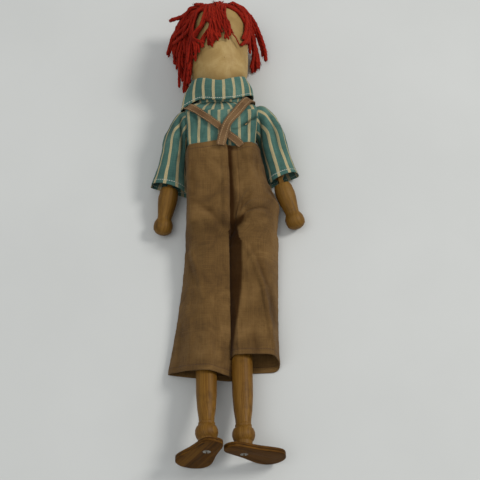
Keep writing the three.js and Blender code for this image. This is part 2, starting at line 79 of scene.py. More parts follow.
# ---------------------------------------------------------------- curves and grids
def spline(points, at, closed=False):
    """Catmull-Rom through the rows of points, read at fractional row numbers."""
    p, at = np.asarray(points, float), np.asarray(at, float)
    n = len(p)
    i = np.floor(at).astype(int)
    if not closed:
        i = np.clip(i, 0, n - 2)
    f = (at - i).reshape((-1,) + (1,) * (p.ndim - 1))

    def row(k):
        if closed:
            return p[k % n]
        inside = p[np.clip(k, 0, n - 1)]
        if (k < 0).any() or (k > n - 1).any():
            inside = inside.copy()
            inside[k < 0] = 2 * p[0] - p[1]
            inside[k > n - 1] = 2 * p[-1] - p[-2]
        return inside

    a, b, c, d = row(i - 1), row(i), row(i + 1), row(i + 2)
    return 0.5 * (2 * b + (c - a) * f + (2 * a - 5 * b + 4 * c - d) * f**2 + (3 * b - a - 3 * c + d) * f**3)


def smooth_step(lo, hi, x):
    t = np.clip((x - lo) / (hi - lo), 0, 1)
    return t * t * (3 - 2 * t)


def steps_between(counts):
    """Fractional control numbers that give each control span its own count of fine steps."""
    return np.array([i + k / c for i, c in enumerate(counts) for k in range(c)])


def run_along(points):
    """Distance along a line of points, from its first."""
    return np.concatenate([[0], np.cumsum(np.linalg.norm(np.diff(points, axis=0), axis=1))])


def closest(xy, points):
    """How far each xy is from a line of points, on which side, beside which span and share of that span."""
    pts = np.asarray(points, float)
    best = np.full(len(xy), 1e9)
    side, span, share = np.zeros(len(xy)), np.zeros(len(xy), int), np.zeros(len(xy))
    for k, (a, b) in enumerate(zip(pts[:-1], pts[1:])):
        d = b - a
        t = np.clip(((xy - a) @ d) / (d @ d), 0, 1)
        off = xy - a - t[:, None] * d
        gap = np.linalg.norm(off, axis=1)
        near = gap < best
        best[near], span[near], share[near] = gap[near], k, t[near]
        side[near] = np.sign(d[0] * off[:, 1] - d[1] * off[:, 0])[near]
    return best, side, span, share


def crease_height(xy, creases):
    """Sum of folds: each is (points, height, width), tapering at its two ends."""
    total = np.zeros(len(xy))
    for points, height, width in creases:
        best, _, span, share = closest(xy, points)
        run = run_along(np.asarray(points, float))
        at = (run[span] + share * np.diff(run)[span]) / run[-1]
        total += height * np.sin(np.pi * np.clip(at, 0.02, 0.98)) ** 0.6 * np.exp(-((best / width) ** 2))
    return total


def valley_depth(xy, creases):
    """The sunken folds alone, as heights below zero."""
    return np.minimum(crease_height(xy, [c for c in creases if c[1] < 0]), 0)


def step_height(xy, steps):
    """Overlapped edges as (points, drop, reach): cloth drops right of the line and recovers over reach."""
    total = np.zeros(len(xy))
    for points, drop, reach in steps:
        best, side, span, share = closest(xy, points)
        at = (span + share) / (len(points) - 1)
        fall = smooth_step(-0.3, 1.4, best * side) * (1 - smooth_step(1.4, reach, best * side))
        total -= drop * fall * np.sin(np.pi * np.clip(at, 0.0, 1.0)) ** 0.35 * (at > 0) * (at < 1)
    return total


def ripple(p, size, seed):
    """Gentle repeatable unevenness from a few crossing waves, about -1 to 1."""
    rng = np.random.default_rng(seed)
    total = np.zeros(len(p))
    for _ in range(7):
        way = rng.normal(size=3)
        way *= TAU / (size * rng.uniform(0.7, 1.6)) / np.linalg.norm(way)
        total += np.sin(p @ way + rng.uniform(0, TAU))
    return total / 3.5


def grid_normals(p, closed):
    along = np.gradient(p, axis=0)
    across = np.roll(p, -1, 1) - np.roll(p, 1, 1) if closed else np.gradient(p, axis=1)
    n = np.cross(across, along)
    return n / np.maximum(np.linalg.norm(n, axis=2, keepdims=True), 1e-9)


def linked(name, data):
    obj = bpy.data.objects.new(name, data)
    bpy.context.scene.collection.objects.link(obj)
    return obj


def coat(mesh, material):
    mesh.materials.clear()
    mesh.materials.append(MATERIALS[material])


def smooth(mesh):
    mesh.polygons.foreach_set("use_smooth", [True] * len(mesh.polygons))


class Patchwork:
    """Collects grids of points into one mesh, with a cloth coordinate in millimetres per corner."""

    def __init__(self):
        self.points, self.faces, self.cloth, self.tags, self.folds = [], [], [], [], []
        self.total = 0

    def add(self, p, u, v, closed=False, flip=False, tag=None, fold=None):
        """One grid. tag numbers the piece of each row of faces; fold gives each point's painted shade, 0 to
        1.
        """
        rows, cols = p.shape[:2]
        base = self.total
        self.points.append(p.reshape(-1, 3))
        self.folds.append(np.zeros(rows * cols) if fold is None else fold.reshape(-1))
        self.total += rows * cols
        for i in range(rows - 1):
            for j in range(cols if closed else cols - 1):
                k = (j + 1) % cols
                quad = [(i, j, j), (i, k, j + 1), (i + 1, k, j + 1), (i + 1, j, j)]
                if flip:
                    quad.reverse()
                self.faces.append([base + r * cols + c for r, c, _ in quad])
                self.cloth.append([(u[r, cc], v[r, cc]) for r, _, cc in quad])
                self.tags.append(0 if tag is None else tag[i])

    def build(self, name, weld=0.02):
        mesh = bpy.data.meshes.new(name)
        mesh.from_pydata((np.concatenate(self.points) * MM).tolist(), [], self.faces)
        layer = mesh.uv_layers.new(name="cloth")
        layer.data.foreach_set("uv", np.array([c for f in self.cloth for c in f], np.float32).ravel())
        # the fold attribute holds each point's painted shade for the cloth material
        painted_shade_layer = mesh.attributes.new("fold", "FLOAT", "POINT")
        painted_shade_layer.data.foreach_set("value", np.concatenate(self.folds).astype(np.float32))
        for _ in range(max(self.tags) + 1):
            mesh.materials.append(None)
        mesh.polygons.foreach_set("material_index", self.tags)
        weld_points(mesh, weld)
        smooth(mesh)
        return linked(name, mesh)


def weld_points(mesh, reach, flatten=None):
    """Joins vertices nearer than reach; flatten also merges faces that lie within that many degrees."""
    made = bmesh.new()
    made.from_mesh(mesh)
    bmesh.ops.remove_doubles(made, verts=made.verts, dist=reach * MM)
    if flatten:
        bmesh.ops.dissolve_limit(made, angle_limit=math.radians(flatten), verts=made.verts, edges=made.edges)
    made.to_mesh(mesh)
    made.free()


def divide(obj, names):
    """Cuts a thickened mesh into one object per tag; flat walls close each piece at the cut."""
    made = []
    half = len(obj.data.vertices) // 2        # the second half of the vertices is the cloth's inner face
    for tag, name in enumerate(names):
        mesh = obj.data.copy()
        part = bmesh.new()
        part.from_mesh(mesh)
        part.verts.ensure_lookup_table()
        for edge in [e for e in part.edges if max(v.index for v in e.verts) < half]:
            own = [f for f in edge.link_faces if f.material_index == tag]
            if len(own) == 1 and len(edge.link_faces) == 2:
                loop = next(l for l in own[0].loops if l.edge == edge)
                a, b = loop.vert.index, loop.link_loop_next.vert.index
                wall = part.faces.new([part.verts[k] for k in (b, a, a + half, b + half)])
                wall.material_index = tag
                for side in wall.edges:
                    side.smooth = False
        bmesh.ops.delete(part, geom=[f for f in part.faces if f.material_index != tag], context="FACES")
        for face in part.faces:
            face.material_index = 0
        part.to_mesh(mesh)
        part.free()
        mesh.name = name
        made.append(linked(name, mesh))
    bpy.data.objects.remove(obj)
    return made


def settle(obj, *modifiers):
    """Adds modifiers (kind, settings) and keeps their result as the object's own mesh."""
    for kind, settings in modifiers:
        m = obj.modifiers.new(kind, kind)
        for key, value in settings.items():
            setattr(m, key, value)
    bpy.context.view_layer.update()
    graph = bpy.context.evaluated_depsgraph_get()
    mesh = bpy.data.meshes.new_from_object(obj.evaluated_get(graph), depsgraph=graph)
    obj.modifiers.clear()
    old, obj.data = obj.data, mesh
    mesh.name = obj.name
    if old.users == 0:
        bpy.data.meshes.remove(old)
    return obj


def thicken(obj, thickness):
    return settle(obj, ("SOLIDIFY", {"thickness": thickness * MM, "offset": -1.0, "use_rim": True}))


# ---------------------------------------------------------------- materials
class Shade:
    """Wires one material's nodes."""

    def __init__(self, name):
        self.material = bpy.data.materials.new(name)
        self.material.use_nodes = True
        self.tree = self.material.node_tree
        self.tree.nodes.clear()

    def node(self, kind, inputs=(), **settings):
        made = self.tree.nodes.new("ShaderNode" + kind)
        for key, value in settings.items():
            setattr(made, key, value)
        for key, value in dict(inputs).items():
            if isinstance(value, bpy.types.NodeSocket):
                self.tree.links.new(value, made.inputs[key])
            else:
                made.inputs[key].default_value = value
        return made

    def math(self, operation, *values):
        return self.node("Math", dict(enumerate(values)), operation=operation).outputs[0]

    def add(self, a, b):
        return self.math("ADD", a, b)

    def sub(self, a, b):
        return self.math("SUBTRACT", a, b)

    def mul(self, a, b):
        return self.math("MULTIPLY", a, b)

    def vector(self, operation, a, b=None, scale=None):
        inputs = {0: a}
        if b is not None:
            inputs[1] = b
        if scale is not None:
            inputs["Scale"] = scale
        made = self.node("VectorMath", inputs, operation=operation)
        return made.outputs["Value" if operation in ("DOT_PRODUCT", "LENGTH") else "Vector"]

    def mix(self, factor, a, b, blend="MIX"):
        made = self.node("Mix", data_type="RGBA", blend_type=blend)
        for index, value in ((0, factor), (6, a), (7, b)):
            if isinstance(value, bpy.types.NodeSocket):
                self.tree.links.new(value, made.inputs[index])
            else:
                made.inputs[index].default_value = value if index == 0 else (*value, 1.0)
        return made.outputs[2]

    def stain(self, colour, tint, mask, strength):
        """Brings the tint in where the mask is 1."""
        return self.mix(self.mul(mask, strength), colour, tint)

    def ramp(self, factor, stops):
        made = self.node("ValToRGB", {0: factor})
        band = made.color_ramp
        while len(band.elements) < len(stops):
            band.elements.new(0.5)
        for element, (place, colour) in zip(band.elements, stops):
            element.position = place
            element.color = (*colour, 1.0)
        return made.outputs[0]

    def noise(self, vector, scale, detail=4.0, roughness=0.55, distortion=0.0):
        return self.node("TexNoise", {"Vector": vector, "Scale": scale, "Detail": detail,
                                      "Roughness": roughness, "Distortion": distortion}).outputs[0]

    def window(self, value, lo, hi):
        """0 below lo, 1 above hi."""
        ends = {0: value, 1: lo, 2: hi, 3: 0.0, 4: 1.0}
        return self.node("MapRange", ends, interpolation_type="SMOOTHSTEP").outputs[0]

    def bump(self, height, strength, distance, normal=None):
        inputs = {"Height": height, "Strength": strength, "Distance": distance * MM}
        if normal is not None:
            inputs["Normal"] = normal
        return self.node("Bump", inputs).outputs[0]

    def place(self):
        """The point at rest, in millimetres."""
        return self.vector("SCALE", self.node("TexCoord").outputs["Object"], scale=1000.0)

    def close(self, colour, roughness, normal, **more):
        inputs = {"Base Color": colour, "Roughness": roughness, "Normal": normal,
                  "Specular IOR Level": 0.14, **more}
        shader = self.node("BsdfPrincipled", inputs)
        out = self.node("OutputMaterial")
        self.tree.links.new(shader.outputs[0], out.inputs[0])
        return self.material


def srgb(r, g, b):
    """A colour given as 0-255 values seen on a screen, as linear light."""
    return tuple(c / 12.92 if c <= 0.04045 else ((c + 0.055) / 1.055) ** 2.4 for c in (r / 255, g / 255,
                                                                                       b / 255))


def dim(colour, share):
    return tuple(c * share for c in colour)


def wood(name, way, dark, mid, light, ring=2.6, pith=(25.0, 0.0, -30.0), streak=1.0, rough=0.55, worn=None,
         shine=0.14):
    """Turned or sawn wood with its grain running along way."""
    s = Shade(name)
    p = s.place()
    d = tuple(float(c) for c in way)
    along = s.vector("DOT_PRODUCT", p, d)
    across = s.vector("SUBTRACT", p, s.vector("SCALE", d, scale=along))
    grain = s.vector("ADD", across, s.vector("SCALE", d, scale=s.mul(along, 0.045)))
    broad = s.noise(grain, 0.16, 5.0, 0.6, 0.4)
    fine = s.noise(grain, 1.1, 8.0, 0.65)
    pores = s.noise(grain, 3.4, 6.0, 0.6)
    distance = s.vector("LENGTH", s.vector("SUBTRACT", across, pith))
    rings = s.math("SINE", s.add(s.mul(distance, TAU / ring), s.mul(broad, 9.0)))
    rings = s.math("MULTIPLY_ADD", rings, 0.5, 0.5)
    late = s.math("POWER", rings, 2.4)
    tone = s.add(s.mul(broad, 0.62), s.mul(fine, 0.42))
    tone = s.sub(tone, s.mul(late, 0.16 * streak))
    colour = s.ramp(tone, [(0.22, dark), (0.46, mid), (0.68, light)])
    dirt = s.noise(p, 0.07, 6.0, 0.62)
    colour = s.stain(colour, dim(dark, 0.45), s.window(dirt, 0.5, 0.75), 0.45)
    specks = s.window(s.noise(p, 0.9, 2.0, 0.4), 0.69, 0.75)
    colour = s.stain(colour, dim(dark, 0.3), specks, 0.55)
    if worn:
        edge = s.window(s.node("NewGeometry").outputs["Pointiness"], 0.51, 0.58)
        colour = s.stain(colour, worn, edge, s.window(fine, 0.35, 0.6))
    height = s.add(s.mul(pores, 0.7), s.mul(rings, 0.35))
    normal = s.bump(height, 0.35, 0.35, s.bump(broad, 0.3, 1.2))
    roughness = s.add(s.mul(fine, 0.3), rough - 0.15)
    return s.close(colour, roughness, normal, **{"Specular IOR Level": shine})


def painted_head(name):
    """Cream wood, dulled and handled, with fine grain under it and a few small dents."""
    s = Shade(name)
    p = s.place()
    along = s.vector("DOT_PRODUCT", p, tuple(SPINE_WAY))
    across = s.vector("SUBTRACT", p, s.vector("SCALE", tuple(SPINE_WAY), scale=along))
    grain = s.vector("ADD", across, s.vector("SCALE", tuple(SPINE_WAY), scale=s.mul(along, 0.06)))
    broad, fine = s.noise(p, 0.035, 5.0, 0.6, 0.5), s.noise(grain, 0.8, 8.0, 0.65)
    colour = s.ramp(broad, [(0.3, srgb(136, 108, 62)), (0.5, srgb(158, 130, 80)),
                            (0.68, srgb(176, 150, 100))])
    colour = s.stain(colour, srgb(136, 106, 60), s.window(fine, 0.48, 0.72), 0.28)
    smudge = s.window(s.noise(p, 0.11, 6.0, 0.7, 1.0), 0.6, 0.78)
    colour = s.stain(colour, srgb(112, 84, 48), smudge, 0.4)
    marks = s.window(s.noise(p, 0.42, 3.0, 0.5), 0.715, 0.75)
    colour = s.stain(colour, srgb(62, 44, 30), marks, 0.8)
    # darker towards the neck, below about 182 mm along the spine's direction
    low = s.window(along, 182.0, 158.0)
    colour = s.stain(colour, srgb(124, 96, 54), low, 0.25)
    height = s.sub(s.add(s.mul(fine, 0.5), s.mul(broad, 0.6)),
                    s.mul(marks, 0.8))
    normal = s.bump(height, 0.3, 0.4)
    return s.close(colour, s.add(s.mul(fine, 0.25), 0.42), normal)


def metal(name, base, dull):
    """Old plain steel: brushed, spotted and a little tarnished."""
    s = Shade(name)
    p = s.place()
    spots = s.noise(p, 0.6, 6.0, 0.7)
    scratch = s.noise(s.vector("MULTIPLY", p, (0.4, 6.0, 0.4)), 1.0, 5.0, 0.6)
    colour = s.mix(s.window(spots, 0.45, 0.65), base, dull)
    return s.close(colour, s.add(s.mul(scratch, 0.35), 0.22), s.bump(scratch, 0.25, 0.1),
                   Metallic=s.sub(1.0, s.mul(s.window(spots, 0.5, 0.7), 0.5)))


def paint(name, base, worn):
    """Brushed-on paint with worn patches."""
    s = Shade(name)
    p = s.place()
    wear, brush = s.noise(p, 0.5, 6.0, 0.65), s.noise(s.vector("MULTIPLY", p, (0.3, 3.0, 0.3)), 1.0, 4.0)
    colour = s.mix(s.mul(s.window(wear, 0.58, 0.7), 0.7), base, worn)
    return s.close(colour, s.add(s.mul(brush, 0.3), 0.25), s.bump(brush, 0.25, 0.1))


def yarn(name):
    """Felted wool yarn: twisted plies, fine hairs and uneven dye."""
    s = Shade(name)
    uv = s.node("SeparateXYZ", {0: s.node("UVMap", uv_map="cloth").outputs[0]})
    around, along = uv.outputs[0], uv.outputs[1]
    p = s.place()
    twist = s.math("SINE", s.add(s.mul(around, TAU * 3), s.mul(along, 1.15)))
    fibre = s.noise(s.node("CombineXYZ", {0: s.mul(around, 9.0), 1: s.mul(along, 0.9),
                                          2: s.mul(along, 0.05)}).outputs[0], 1.6, 6.0, 0.7, 0.4)
    dye = s.noise(p, 0.09, 4.0, 0.6)
    fleck = s.noise(p, 1.3, 3.0, 0.6)
    tone = s.add(s.mul(fibre, 0.55), s.mul(dye, 0.45))
    colour = s.ramp(tone, [(0.3, srgb(78, 12, 8)), (0.5, srgb(134, 26, 14)), (0.72, srgb(172, 46, 24))])
    colour = s.stain(colour, srgb(190, 66, 34), s.window(fleck, 0.55, 0.75), 0.35)
    # painted shade in the grooves between the twisted plies
    shaded_groove = s.window(twist, -0.2, -0.95)
    colour = s.stain(colour, srgb(84, 16, 12), shaded_groove, 0.35)
    normal = s.bump(s.add(s.mul(fibre, 0.8), s.mul(twist, 0.3)), 0.8, 0.5)
    return s.close(colour, 0.9, normal, **{"Sheen Weight": 0.06, "Sheen Roughness": 0.6,
                                           "Specular IOR Level": 0.08,
                                          "Sheen Tint": (*srgb(230, 120, 90), 1.0)})


# Cloth coordinate: u across the cloth in millimetres, v from the nearest hem in millimetres.
def cloth(name, dark, mid, light, thread=0.62, stripe=None, stitch=None, hem=5.5, fade=0.35, slub=0.5):
    s = Shade(name)
    uv = s.node("SeparateXYZ", {0: s.node("UVMap", uv_map="cloth").outputs[0]})
    u, v = uv.outputs[0], uv.outputs[1]
    p = s.place()
    k = TAU / thread
    warp, weft = s.math("SINE", s.mul(u, k)), s.math("SINE", s.mul(v, k))
    weave = s.mul(warp, weft)
    warp_slub = s.noise(s.node("CombineXYZ", {0: s.mul(u, 1.5), 1: s.mul(v, 0.045)}).outputs[0],
                        1.0, 4.0, 0.6)
    weft_slub = s.noise(s.node("CombineXYZ", {0: s.mul(u, 0.045), 1: s.mul(v, 1.5)}).outputs[0],
                        1.0, 4.0, 0.6)
    mottle, fine = s.noise(p, 0.028, 6.0, 0.6, 0.6), s.noise(p, 2.2, 4.0, 0.7)
    tone = s.add(s.mul(warp_slub, slub * 0.55), s.mul(weft_slub, slub * 0.45))
    tone = s.add(tone, s.mul(mottle, 1.0 - slub))
    colour = s.ramp(tone, [(0.36, dark), (0.5, mid), (0.64, light)])
    if stripe:
        pitch, width, offset, tint, tint_dark = stripe
        wander = s.mul(s.sub(s.noise(p, 0.05, 2.0), 0.5), 1.2)
        at = s.math("FRACT", s.math("DIVIDE", s.add(s.add(u, wander), offset), pitch))
        middle = s.math("ABSOLUTE", s.sub(at, 0.5))
        ragged = s.mul(s.sub(s.noise(p, 1.6, 2.0), 0.5), 0.02)
        half = width / pitch / 2
        mask = s.window(s.add(middle, ragged), half + 0.012, half - 0.012)
        pale = s.mix(s.window(fine, 0.35, 0.7), tint_dark, tint)
        colour = s.stain(colour, pale, mask, 0.94)
    # painted shade in the low points of the weave
    colour = s.stain(colour, dim(dark, 0.55), s.window(weave, 0.3, -0.9), 0.22)
    colour = s.stain(colour, light, s.window(mottle, 0.52, 0.72), fade)
    stain = s.window(s.noise(p, 0.016, 5.0, 0.65, 0.8), 0.55, 0.7)
    colour = s.stain(colour, dim(dark, 0.8), stain, 0.22)
    # painted shade from the fold attribute: darker and less shiny in creases, in gaps between parts and past
    # overlapped edges
    fold = s.window(s.node("Attribute", attribute_name="fold").outputs["Fac"], 0.0, 1.0)
    colour = s.stain(colour, (dark[0] * 0.3, dark[1] * 0.2, dark[2] * 0.16), fold, 0.9)
    shine = s.sub(0.22, s.mul(fold, 0.2))
    row = s.math("ABSOLUTE", s.sub(v, hem))
    on_row = s.window(row, 0.42, 0.2)
    dash = s.window(s.math("ABSOLUTE", s.sub(s.math("FRACT", s.math("DIVIDE", u, 2.3)), 0.5)), 0.36, 0.3)
    thread_mask = s.mul(on_row, dash)
    if stitch:
        colour = s.stain(colour, stitch, thread_mask, 0.9)
    # the stitch row sinks into a groove, with painted shade in it
    shaded_groove = s.window(row, 1.1, 0.1)
    colour = s.stain(colour, dim(dark, 0.45), shaded_groove, 0.18)
    height = s.add(s.mul(weave, 0.5), s.add(warp_slub, weft_slub))
    height = s.add(height, s.sub(s.mul(thread_mask, 1.2), s.mul(shaded_groove, 1.6)))
    normal = s.bump(height, 0.55, 0.3, s.bump(s.noise(p, 0.12, 4.0, 0.6, 0.4), 0.35, 1.5))
    return s.close(colour, s.add(s.mul(fine, 0.12), 0.82), normal,
                   **{"Sheen Weight": 0.04, "Sheen Roughness": 0.5, "Specular IOR Level": shine})


SHIRT_TONES = dict(dark=srgb(46, 76, 70), mid=srgb(70, 106, 96), light=srgb(96, 130, 116))
STRIPE = (11.6, 3.2, 0.0, srgb(204, 188, 146), srgb(166, 150, 108))
BROWN_TONES = dict(dark=srgb(74, 51, 23), mid=srgb(103, 75, 37), light=srgb(126, 95, 53))
MATERIALS = {
    "shirt": cloth("shirt_cloth", stripe=STRIPE, stitch=srgb(220, 222, 205), hem=4.6, **SHIRT_TONES),
    "trousers": cloth("trouser_cloth", stitch=srgb(84, 58, 40), hem=6.2, thread=0.7, **BROWN_TONES),
    "strap": cloth("strap_cloth", srgb(78, 54, 32), srgb(108, 80, 51), srgb(130, 100, 66),
                   stitch=srgb(178, 146, 106), hem=1.3, thread=0.7),
    "yarn": yarn("red_yarn"),
    "head": painted_head("head_wood"),
    "steel": metal("old_steel", srgb(150, 148, 142), srgb(92, 78, 64)),
    "eye": paint("eye_paint", srgb(28, 24, 22), srgb(96, 74, 54)),
    "board": wood("raw_board", SPINE_WAY, srgb(140, 108, 70), srgb(184, 150, 104), srgb(206, 176, 130),
                  ring=4.0),
    "jaw": wood("jaw_wood", SPINE_WAY, srgb(156, 122, 82), srgb(200, 170, 124), srgb(222, 198, 158),
                ring=5.0),
}
for side in SIDES:
    MATERIALS["arm_" + side] = wood("arm_wood_" + side, ARM_WAY[side], srgb(78, 52, 15), srgb(110, 77, 27),
                                    srgb(128, 93, 38), ring=3.0, streak=0.5,
                                    pith=(8.0 * SIGN[side], 30.0, -14.0), rough=0.5)
    MATERIALS["thigh_" + side] = wood("thigh_wood_" + side, THIGH_WAY, srgb(88, 56, 20), srgb(120, 82, 36),
                                      srgb(142, 102, 52), ring=2.2)
    MATERIALS["shin_" + side] = wood("shin_wood_" + side, SHIN_WAY[side], srgb(74, 46, 10), srgb(104, 70, 20),
                                     srgb(128, 92, 34), ring=1.7, pith=(-60.0, 4.0, -46.0), streak=0.6,
                                     rough=0.46)
    toe = {"left": (-0.44, -0.19, -0.88), "right": (0.79, -0.09, -0.6)}[side]
    MATERIALS["foot_" + side] = wood("foot_wood_" + side, toe, srgb(38, 22, 5), srgb(86, 54, 15),
                                     srgb(122, 84, 30),
                                     ring=3.2, pith=(12.0, -20.0, 8.0), streak=1.3, rough=0.6,
                                     worn=srgb(36, 22, 12),
                                     shine=0.04)


# ---------------------------------------------------------------- wood and steel
def carve(node, body, material, edge):
    """The wooden piece that stands for a CAD node, its edges eased by wear."""
    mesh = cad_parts[node].data.copy()
    mesh.materials.clear()
    weld_points(mesh, 0.004, 0.6)
    obj = linked(node + "_look", mesh)
    settle(obj, ("BEVEL", {"width": edge * MM, "segments": 3, "limit_method": "ANGLE",
                           "angle_limit": math.radians(34.0), "harden_normals": False}))
    smooth(obj.data)
    obj.data.set_sharp_from_angle(angle=math.radians(46))
    coat(obj.data, material)
    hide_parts(node)
    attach(obj, body)


WOODWORK = [("head", "head", "head", "pale_wood", 0.4), ("jaw", "jaw", "jaw", "pale_wood", 0.6),
            ("nose", "head", "head", "pale_wood", 0.4), ("head_stick", "head", "board", "raw_board", 0.6)]
for side in SIDES:
    WOODWORK += [(f"upper_arm_{side}", f"upper_arm_{side}", f"arm_{side}", "stained_wood", 0.5),
                 (f"forearm_{side}", f"forearm_{side}", f"arm_{side}", "stained_wood", 0.4),
                 (f"thigh_{side}", f"thigh_{side}", f"thigh_{side}", "stained_wood", 0.5),
                 (f"shin_{side}", f"shin_{side}", f"shin_{side}", "stained_wood", 0.4),
                 (f"foot_{side}", f"foot_{side}", f"foot_{side}", "dark_wood", 1.1)]
for node, body, material, slot_name, edge in WOODWORK:
    carve(node, body, material, edge)


# CAD nodes that stay in view, most of them steel pins.
KEPT = {n: "steel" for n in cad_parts}
KEPT.update({n: "board" for n in ("chest_board", "back_board", "side_board_left", "side_board_right",
                                  "shoulder_board", "pelvis_block", "hip_axle")})
KEPT.update({"eye_left": "eye", "eye_right": "eye"})
for node, material in KEPT.items():
    coat(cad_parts[node].data, material)


# ---------------------------------------------------------------- trousers
CROTCH_Y = -14.0
SPLIT_Y = -85.0        # where the trousers are cut into a seat piece and a leg piece
FLOOR_GAP = 1.3        # lowest point of the cloth before it gets its thickness
TROUSER_CLOTH, SHIRT_CLOTH, STRAP_CLOTH = 0.9, 0.8, 1.2      # how thick each cloth is
# Where across the body each leg's cloth begins to follow the thigh.
# Each row: y, the cloth's top line as (x, z) from the inner edge to the outer edge, the bottom height.
LEFT_LEG = [
    (-24, [(0.2, 17), (2.2, 29.5), (-10, 34.5), (-24, 36), (-37.5, 29), (-45.8, 12)], 0.9),
    (-40, [(0.0, 15), (1.8, 27), (-10, 32.5), (-24, 34), (-38, 25.5), (-46.5, 11)], 0.9),
    (-71, [(0.2, 12), (2.4, 23.5), (-11, 29.5), (-25, 31), (-40, 22.5), (-49.4, 9)], 0.9),
    (-95, [(0.4, 11), (3.0, 21.5), (-12, 28.5), (-26, 30), (-43, 20), (-52.5, 8)], 0.9),
    (-121, [(0.6, 11), (3.4, 20.5), (-12, 28.5), (-26, 30.5), (-45, 20), (-56.3, 7)], 0.9),
    (-151, [(0.6, 10), (3.6, 19), (-13, 32), (-26, 35.5), (-47, 21), (-61, 6)], 0.9),
    (-170, [(1.6, 9), (3.4, 18), (-14, 35), (-26, 38.5), (-49, 22), (-63.6, 6)], 0.9),
    (-181, [(2.6, 8), (3.0, 17), (-14.5, 36.5), (-26, 40), (-50, 23), (-65, 6)], 1.2),
]
RIGHT_LEG = [
    (-24, [(1.7, 13), (3.0, 27), (13.6, 35.6), (30, 37.5), (48, 27), (57, 13)], 0.9),
    (-40, [(1.7, 12), (2.6, 23.6), (13.6, 32), (30, 34.5), (46.5, 27), (56, 12)], 0.9),
    (-71, [(1.7, 11), (2.4, 22.5), (12.8, 30), (31, 32.4), (44.5, 27.5), (54.8, 11)], 0.9),
    (-95, [(1.7, 11), (2.6, 20.5), (12.0, 28), (32, 30.4), (43.5, 28.4), (54, 10)], 0.9),
    (-121, [(1.7, 12), (3.0, 20), (11.4, 27.4), (32, 29.5), (45.5, 27.4), (53.4, 9)], 0.9),
    (-143, [(1.4, 15), (3.6, 23.5), (11.4, 31), (31, 31.5), (47, 27), (53.5, 8)], 0.9),
    (-159.5, [(1.3, 17), (4.8, 27.4), (12.2, 33.6), (31, 33.5), (47, 27.5), (54, 8)], 1.2),
]
HEM_SLANT = {"left": 0.0, "right": 12.5}   # how much further the underside reaches than the top
LEFT_HEM_RISE = 8.5                        # how much higher the left hem's outer end is than its inner end
SLANT_SHARES = (0.5, 0, 0, 0, 0, 0.35, 0.9, 1, 1, 0.9)   # how far each point of a ring follows the slant
# Seat rows: y, centre point, top points outwards from the centre, bottom height.
LEFT_SEAT = [
    (-14, (9.0, 35.5), [(-4, 39.5), (-23, 41), (-38, 33), (-45.6, 14)], 0.9),
    (-7, (10.5, 43.4), [(-5, 45), (-24, 45.2), (-40.5, 42), (-45, 18)], 0.9),
    (5, (12.8, 44.8), [(-6, 46.6), (-24, 46.4), (-40.8, 43.8), (-44.2, 20)], 0.9),
    (20, (15.0, 46.4), [(-6, 48.6), (-24, 48.4), (-40.8, 45.6), (-43.4, 23)], 1.4),
    (45, (14.6, 49), [(-6, 51.2), (-24, 51), (-40.8, 48.4), (-43.8, 27)], 3.0),
    (70, (13.4, 51.2), [(-6, 53.8), (-24, 53.4), (-40.6, 50.8), (-44.0, 30)], 4.6),
    (90, (12.6, 53.4), [(-6, 56), (-24, 55.4), (-40.2, 52.8), (-43.2, 31)], 6.2),
]
RIGHT_SEAT = [
    (-14, (9.0, 35.5), [(23, 41), (37, 37.6), (50, 27), (55.8, 13)], 0.9),
    (-7, (10.5, 43.4), [(24, 45), (31.5, 43.4), (47, 33), (56.4, 14)], 0.9),
    (5, (12.8, 44.8), [(24, 46.6), (32, 45), (49, 33), (57.4, 15)], 0.9),
    (20, (15.0, 46.4), [(25, 48.4), (33, 46.4), (50, 34), (58.8, 17)], 1.4),
    (45, (14.6, 49), [(24, 51), (32.4, 48.8), (42.5, 38), (47.4, 22)], 3.0),
    (70, (13.4, 51.2), [(22, 53.6), (31, 51), (37.8, 44), (41.8, 28)], 4.6),
    (90, (12.6, 53.4), [(20.5, 55.6), (29.8, 53.4), (35.2, 47), (38.8, 31)], 6.2),
]
WAIST_LINE = [(-46, 79.5), (-40, 80.1), (-23, 82.0), (-8, 84.2), (-3, 83.4), (1.5, 78.6), (8, 77.4),
              (14.5, 77.6),
              (19, 80.2), (26, 81.4), (36.6, 81.6), (42, 83)]
FRONT_WAIST = 88.0
# Lines of painted shade on the trousers, where creases close up and shadows fall, as (points, depth, width);
# depth is how dark.
TROUSER_SHADE = [
    ([(21, -5), (13, -10), (5, -13.5), (3, -18)], 1.0, 3.8), ([(8.5, 34), (8.5, 12), (9, -8)], 0.22, 4.0),
    ([(19, -12), (27, 0), (36, 6)], 0.4, 2.2), ([(18, 2), (25, 14), (29, 24)], 0.3, 2.2),
    ([(31, -44), (41, -80), (47, -112), (52, -150)], 0.16, 4.6), ([(40, 8), (50, 3), (56, -4)], 0.3, 4.5),
    ([(49, -60), (51, -100), (53, -150)], 0.16, 5.0), ([(14, -12), (18, -6), (22, -2)], 0.5, 1.6),
    ([(13, -8), (15, 0), (18, 8)], 0.4, 1.4), ([(11, -6), (12, 4), (13, 14)], 0.3, 1.2),
    ([(-44, -30), (-42, -60), (-36, -90)], 0.12, 2.6), ([(-26, -2), (-14, 6), (-4, 12)], 0.22, 4.0),
    ([(-6, -150), (-7, -168), (-6, -182)], 0.3, 3.0), ([(1.5, 78), (7, 74), (13, 76)], 0.55, 2.2),
    ([(-36, 70), (-38, 40), (-39, 10)], 0.2, 2.5), ([(22, -120), (21, -140), (20, -160)], 0.2, 2.5),
]
